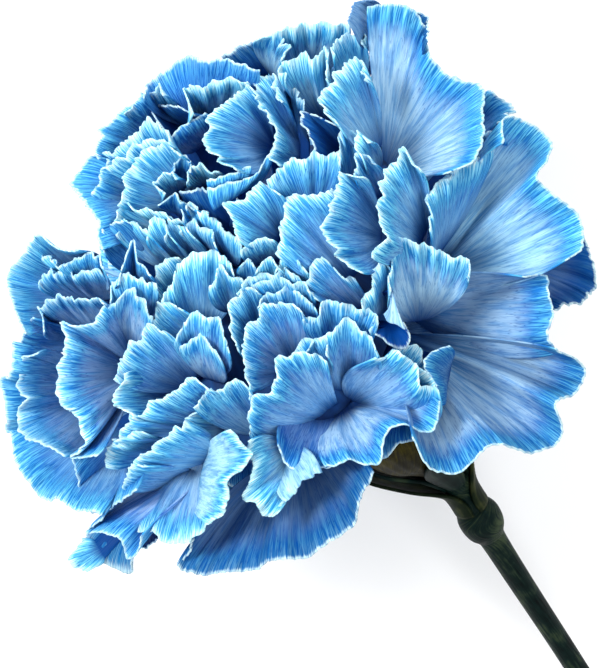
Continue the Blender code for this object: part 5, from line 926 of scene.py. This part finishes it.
class Nodes:
    """A material and the nodes added to it. An input is given as a value or as another node's output."""

    def __init__(self, name):
        self.material = bpy.data.materials.new(name)
        self.material.use_nodes = True
        self.tree = self.material.node_tree
        self.shader = self.tree.nodes["Principled BSDF"]

    def fill(self, socket, value):
        if isinstance(value, bpy.types.NodeSocket):
            self.tree.links.new(value, socket)
        else:
            socket.default_value = value

    def add(self, kind, *inputs, **settings):
        node = self.tree.nodes.new(kind)
        for key, value in settings.items():
            setattr(node, key, value)
        for key, value in enumerate(inputs):
            if value is not None:
                self.fill(node.inputs[key], value)
        return node

    def math(self, operation, a, b=0.0, c=0.0):
        return self.add("ShaderNodeMath", a, b, c, operation=operation).outputs[0]

    def noise(self, vector, scale=1.0, detail=2.0):
        node = self.add("ShaderNodeTexNoise", vector)
        node.inputs["Scale"].default_value = scale
        node.inputs["Detail"].default_value = detail
        return node.outputs[0]

    def span(self, value, low, high, to_low=0.0, to_high=1.0):
        """The value's way from low to high, eased, as a number from to_low to to_high."""
        node = self.add("ShaderNodeMapRange", value, low, high, to_low, to_high)
        node.interpolation_type = "SMOOTHSTEP"
        return node.outputs[0]

    def ramp(self, value, stops):
        node = self.add("ShaderNodeValToRGB", value)
        elements = node.color_ramp.elements
        while len(elements) < len(stops):
            elements.new(0.5)
        for element, (position, colour) in zip(elements, stops):
            element.position = position
            element.color = colour
        return node.outputs[0]

    def mix(self, share, a, b, blend="MIX"):
        node = self.tree.nodes.new("ShaderNodeMix")
        node.data_type = "RGBA"
        node.blend_type = blend
        self.fill(node.inputs["Factor"], share)
        self.fill(node.inputs[6], a)
        self.fill(node.inputs[7], b)
        return node.outputs[2]

    def place(self, map_name):
        """The parts of a point's place in a map."""
        place = self.add("ShaderNodeUVMap", uv_map=map_name).outputs[0]
        return self.add("ShaderNodeSeparateXYZ", place).outputs

    def streaks(self, place, across, along, seed=0.0, detail=2.0):
        """Noise over a place, so fine across it and so fine along it."""
        x = self.math("MULTIPLY", place[0], across)
        y = self.math("MULTIPLY", place[1], along)
        return self.noise(self.add("ShaderNodeCombineXYZ", x, y, seed).outputs[0], 1.0, detail)

    def finish(self, body, roughness, specular=None):
        """The material with its colour and how it shines."""
        self.fill(self.shader.inputs["Base Color"], body)
        self.shader.inputs["Roughness"].default_value = roughness
        if specular is not None:
            self.shader.inputs["Specular IOR Level"].default_value = specular
        return self.material

    def bump(self, height, distance):
        node = self.tree.nodes.new("ShaderNodeBump")
        self.fill(node.inputs["Height"], height)
        node.inputs["Distance"].default_value = distance * MM
        self.tree.links.new(node.outputs[0], self.shader.inputs["Normal"])


def colour(red, green, blue):
    """A colour as it is seen on a screen, from 0 to 255, in the linear numbers that a shader takes."""
    return tuple((c / 255) ** 2.2 for c in (red, green, blue)) + (1.0,)


# Petal colours by distance from the rim, on the ground of the petal and along the lines of the dye
GROUND = ((0.0, colour(200, 236, 242)), (0.07, colour(146, 218, 236)), (0.18, colour(98, 192, 224)),
          (0.34, colour(98, 170, 214)), (0.6, colour(140, 192, 224)), (1.0, colour(94, 168, 210)))
DYE = ((0.0, colour(96, 204, 230)), (0.07, colour(22, 150, 204)), (0.18, colour(4, 106, 182)),
       (0.34, colour(4, 100, 180)), (0.6, colour(12, 116, 186)), (1.0, colour(6, 110, 178)))
PALE_RIM = colour(206, 236, 240)
PALE_MIDDLE = (colour(182, 228, 238), colour(184, 200, 224))
VIOLET = colour(150, 170, 255)
DEEP_BLUE = colour(0, 84, 154)
# NAVY is painted shade: at the feet of petals deep in the bloom, and over petals that lie in shadow
NAVY = colour(0, 56, 124)
CALYX_GREENS = (colour(6, 6, 0), colour(28, 26, 2), colour(64, 58, 10))
STEM_GREENS = (colour(0, 10, 14), colour(18, 34, 32), colour(60, 72, 52))
LEAF_GREENS = (colour(4, 12, 10), colour(24, 34, 22), colour(70, 74, 44))
# The core's front is painted shade, dark blue as the depth between the petals; its back is paler
CORE_PAINTED_SHADE = (colour(0, 44, 88), colour(0, 72, 132))
CORE_BACK = (colour(20, 70, 150), colour(96, 140, 206))
FLOOR_WHITES = (colour(251, 251, 251), colour(255, 255, 255))
FLOOR_REACH = 3.0

# The lights: the way each shines from, its distance and size in m, and its power in W
WORLD_STRENGTH = 0.72
LIGHTS = {
    "key": ((0.3, -0.75, 0.65), 0.9, 0.25, 7.4),
    "fill": ((0.0, 0.2, 1.0), 1.2, 0.7, 5.4),
    "high": ((-0.7, -0.75, 0.35), 0.9, 0.3, 2.6),
}

RAMP_LENGTH = 16.0
PAST_DYE = 7.0


def petal_material():
    """Blue dye that has run to the rim in fine veins and left its edge pale, with painted shade."""
    m = Nodes("petal_surface")
    place = m.place("petal")
    from_rim = place[1]
    fringe, seed, _ = m.place("lines")
    attribute = m.add("ShaderNodeAttribute", attribute_name="look")
    tone, shade, wash = m.add("ShaderNodeSeparateXYZ", attribute.outputs["Vector"]).outputs
    painted_foot_shade = attribute.outputs["Alpha"]

    fine, broad, veined = (m.streaks(place, across, 1.0 / length, seed)
                           for across, length in ((7.0, 3.4), (1.1, 5.0), (2.6, 5.0)))
    moved = m.math("MULTIPLY_ADD", fine, 2.5, m.math("MULTIPLY_ADD", broad, 2.0, from_rim))
    paler = m.span(fringe, 0.2, 1.2, 0.4, 2.4)
    distance = m.math("MULTIPLY", m.math("SUBTRACT", moved, paler), 1.0 / RAMP_LENGTH)
    dyed = m.math("MULTIPLY", m.span(fine, 0.38, 0.6), m.span(from_rim, 2.0, 12.0, 0.85, 0.6))
    body = m.mix(dyed, m.ramp(distance, GROUND), m.ramp(distance, DYE))
    pale_middle = m.math("MULTIPLY", m.span(from_rim, 2.0, 6.0), m.span(from_rim, 12.0, 26.0, 0.9, 0.2))
    patchy = m.math("MULTIPLY", m.math("MULTIPLY", wash, pale_middle), m.span(broad, 0.36, 0.6, 0.3, 1.0))
    body = m.mix(patchy, body, m.mix(tone, *PALE_MIDDLE))
    vein = m.span(m.math("ABSOLUTE", m.math("SUBTRACT", veined, 0.5)), 0.0, 0.035, 1.0, 0.0)
    body = m.mix(m.math("MULTIPLY", vein, m.span(from_rim, 1.0, 10.0, 0.65, 0.4)), body, DEEP_BLUE)
    body = m.mix(m.math("MULTIPLY", tone, 0.4), body, VIOLET, "MULTIPLY")
    # Painted shade: navy near each petal's foot, deep in the bloom
    body = m.mix(m.math("MULTIPLY", painted_foot_shade, 0.92), body, NAVY)
    # Navy over petals of low shade: partly their own darkness, partly painted shade where they lie in
    # shadow
    body = m.mix(m.span(shade, 0.0, 1.0, 0.97, 0.0), body, NAVY)
    pale = m.math("MULTIPLY_ADD", fine, 1.8, m.math("DIVIDE", m.math("SUBTRACT", from_rim, 0.15), fringe))
    paleness = m.math("MULTIPLY", m.span(pale, 0.5, 1.5, 0.9, 0.0), m.span(broad, 0.35, 0.6, 0.4, 1.0))
    body = m.mix(paleness, body, PALE_RIM)
    m.bump(fine, 0.03)
    return m.finish(body, 0.6, 0.02)


def core_material():
    """Painted shade in deep blue; the back paler and streaked, as the narrow ends of petals are."""
    m = Nodes("core_surface")
    place = m.place("petal")
    streaks = m.streaks(place, 1.0, 0.12)
    deep, back = (m.ramp(streaks, tuple(zip((0.3, 0.7), colours))) for colours in (CORE_PAINTED_SHADE, CORE_BACK))
    m.bump(streaks, 0.4)
    return m.finish(m.mix(m.span(place[1], 6.0, 12.0, 0.8, 0.0), deep, back), 0.8)


def green_material(name, greens, roughness):
    """Waxy green, mottled, with lengthwise veins."""
    m = Nodes(name)
    veins = m.streaks(m.place("petal"), 3.0, 0.25, detail=3.0)
    spots = m.noise(m.add("ShaderNodeTexCoord").outputs["Object"], 260.0, 4.0)
    body = m.ramp(m.math("MULTIPLY_ADD", spots, 0.6, m.math("MULTIPLY", veins, 0.4)),
                  tuple(zip((0.32, 0.5, 0.68), greens)))
    m.bump(veins, 0.12)
    return m.finish(body, roughness, 0.05)


def floor_material():
    m = Nodes("floor_surface")
    place = m.add("ShaderNodeTexCoord").outputs["Object"]
    return m.finish(m.ramp(m.noise(place, 30.0), tuple(zip((0.3, 0.7), FLOOR_WHITES))), 0.9)


def floor():
    mesh = bpy.data.meshes.new("floor")
    corners = [(x * FLOOR_REACH, y * FLOOR_REACH, 0.0) for x, y in ((-1, -1), (1, -1), (1, 1), (-1, 1))]
    mesh.from_pydata(corners, [], [(0, 1, 2, 3)])
    mesh.materials.append(floor_material())
    plane = new_object("floor", mesh)


def area_light(name, way, distance, size, power):
    """A soft light that shines on the bloom from a way."""
    light = bpy.data.lights.new(name, "AREA")
    light.size = size
    light.energy = power
    lamp = new_object(name, light)
    way = Vector(way).normalized()
    lamp.location = Vector(BLOOM_MIDDLE * MM) + distance * way
    lamp.rotation_euler = (-way).to_track_quat("-Z", "Y").to_euler()


def lights():
    world = bpy.data.worlds.new("studio")
    world.use_nodes = True
    background = world.node_tree.nodes["Background"]
    background.inputs["Color"].default_value = (1.0, 1.0, 1.0, 1.0)
    background.inputs["Strength"].default_value = WORLD_STRENGTH
    bpy.context.scene.world = world
    for name, settings in LIGHTS.items():
        area_light(name, *settings)


def camera():
    """Looks down on the bloom from the photograph's side, rolled as the photograph is."""
    data = bpy.data.cameras.new("camera")
    data.sensor_fit = "HORIZONTAL"
    data.sensor_width = SENSOR_WIDTH
    data.lens = SENSOR_WIDTH * EYE_DISTANCE / (PICTURE_WIDTH * PIXEL_SIZE)
    data.clip_start = 0.01
    eye = new_object("camera", data)
    right_of_middle = (PICTURE_WIDTH / 2 - MIDDLE_PIXEL[0]) * PIXEL_SIZE
    below_middle = (PICTURE_HEIGHT / 2 - MIDDLE_PIXEL[1]) * PIXEL_SIZE
    place = BLOOM_MIDDLE + right_of_middle * RIGHT - below_middle * UP + EYE_DISTANCE * TOWARD
    turn = Matrix((RIGHT, UP, TOWARD)).transposed()
    eye.matrix_world = Matrix.Translation(Vector(place * MM)) @ turn.to_4x4()
    bpy.context.scene.camera = eye


def main():
    camera()
    lights()
    floor()
    petals(petal_material())
    core(core_material())
    calyx(green_material("calyx_surface", CALYX_GREENS, 0.5))
    stem_green = green_material("stem_surface", STEM_GREENS, 0.45)
    bracts(stem_green)
    stem(stem_green)
    leaf_green = green_material("leaf_surface", LEAF_GREENS, 0.5)
    leaf("leaf_left", LEFT_LEAF, 1, leaf_green)
    leaf("leaf_right", RIGHT_LEAF, -1, leaf_green)
    bpy.context.scene.view_settings.view_transform = "Standard"
    bpy.context.view_layer.update()


main()
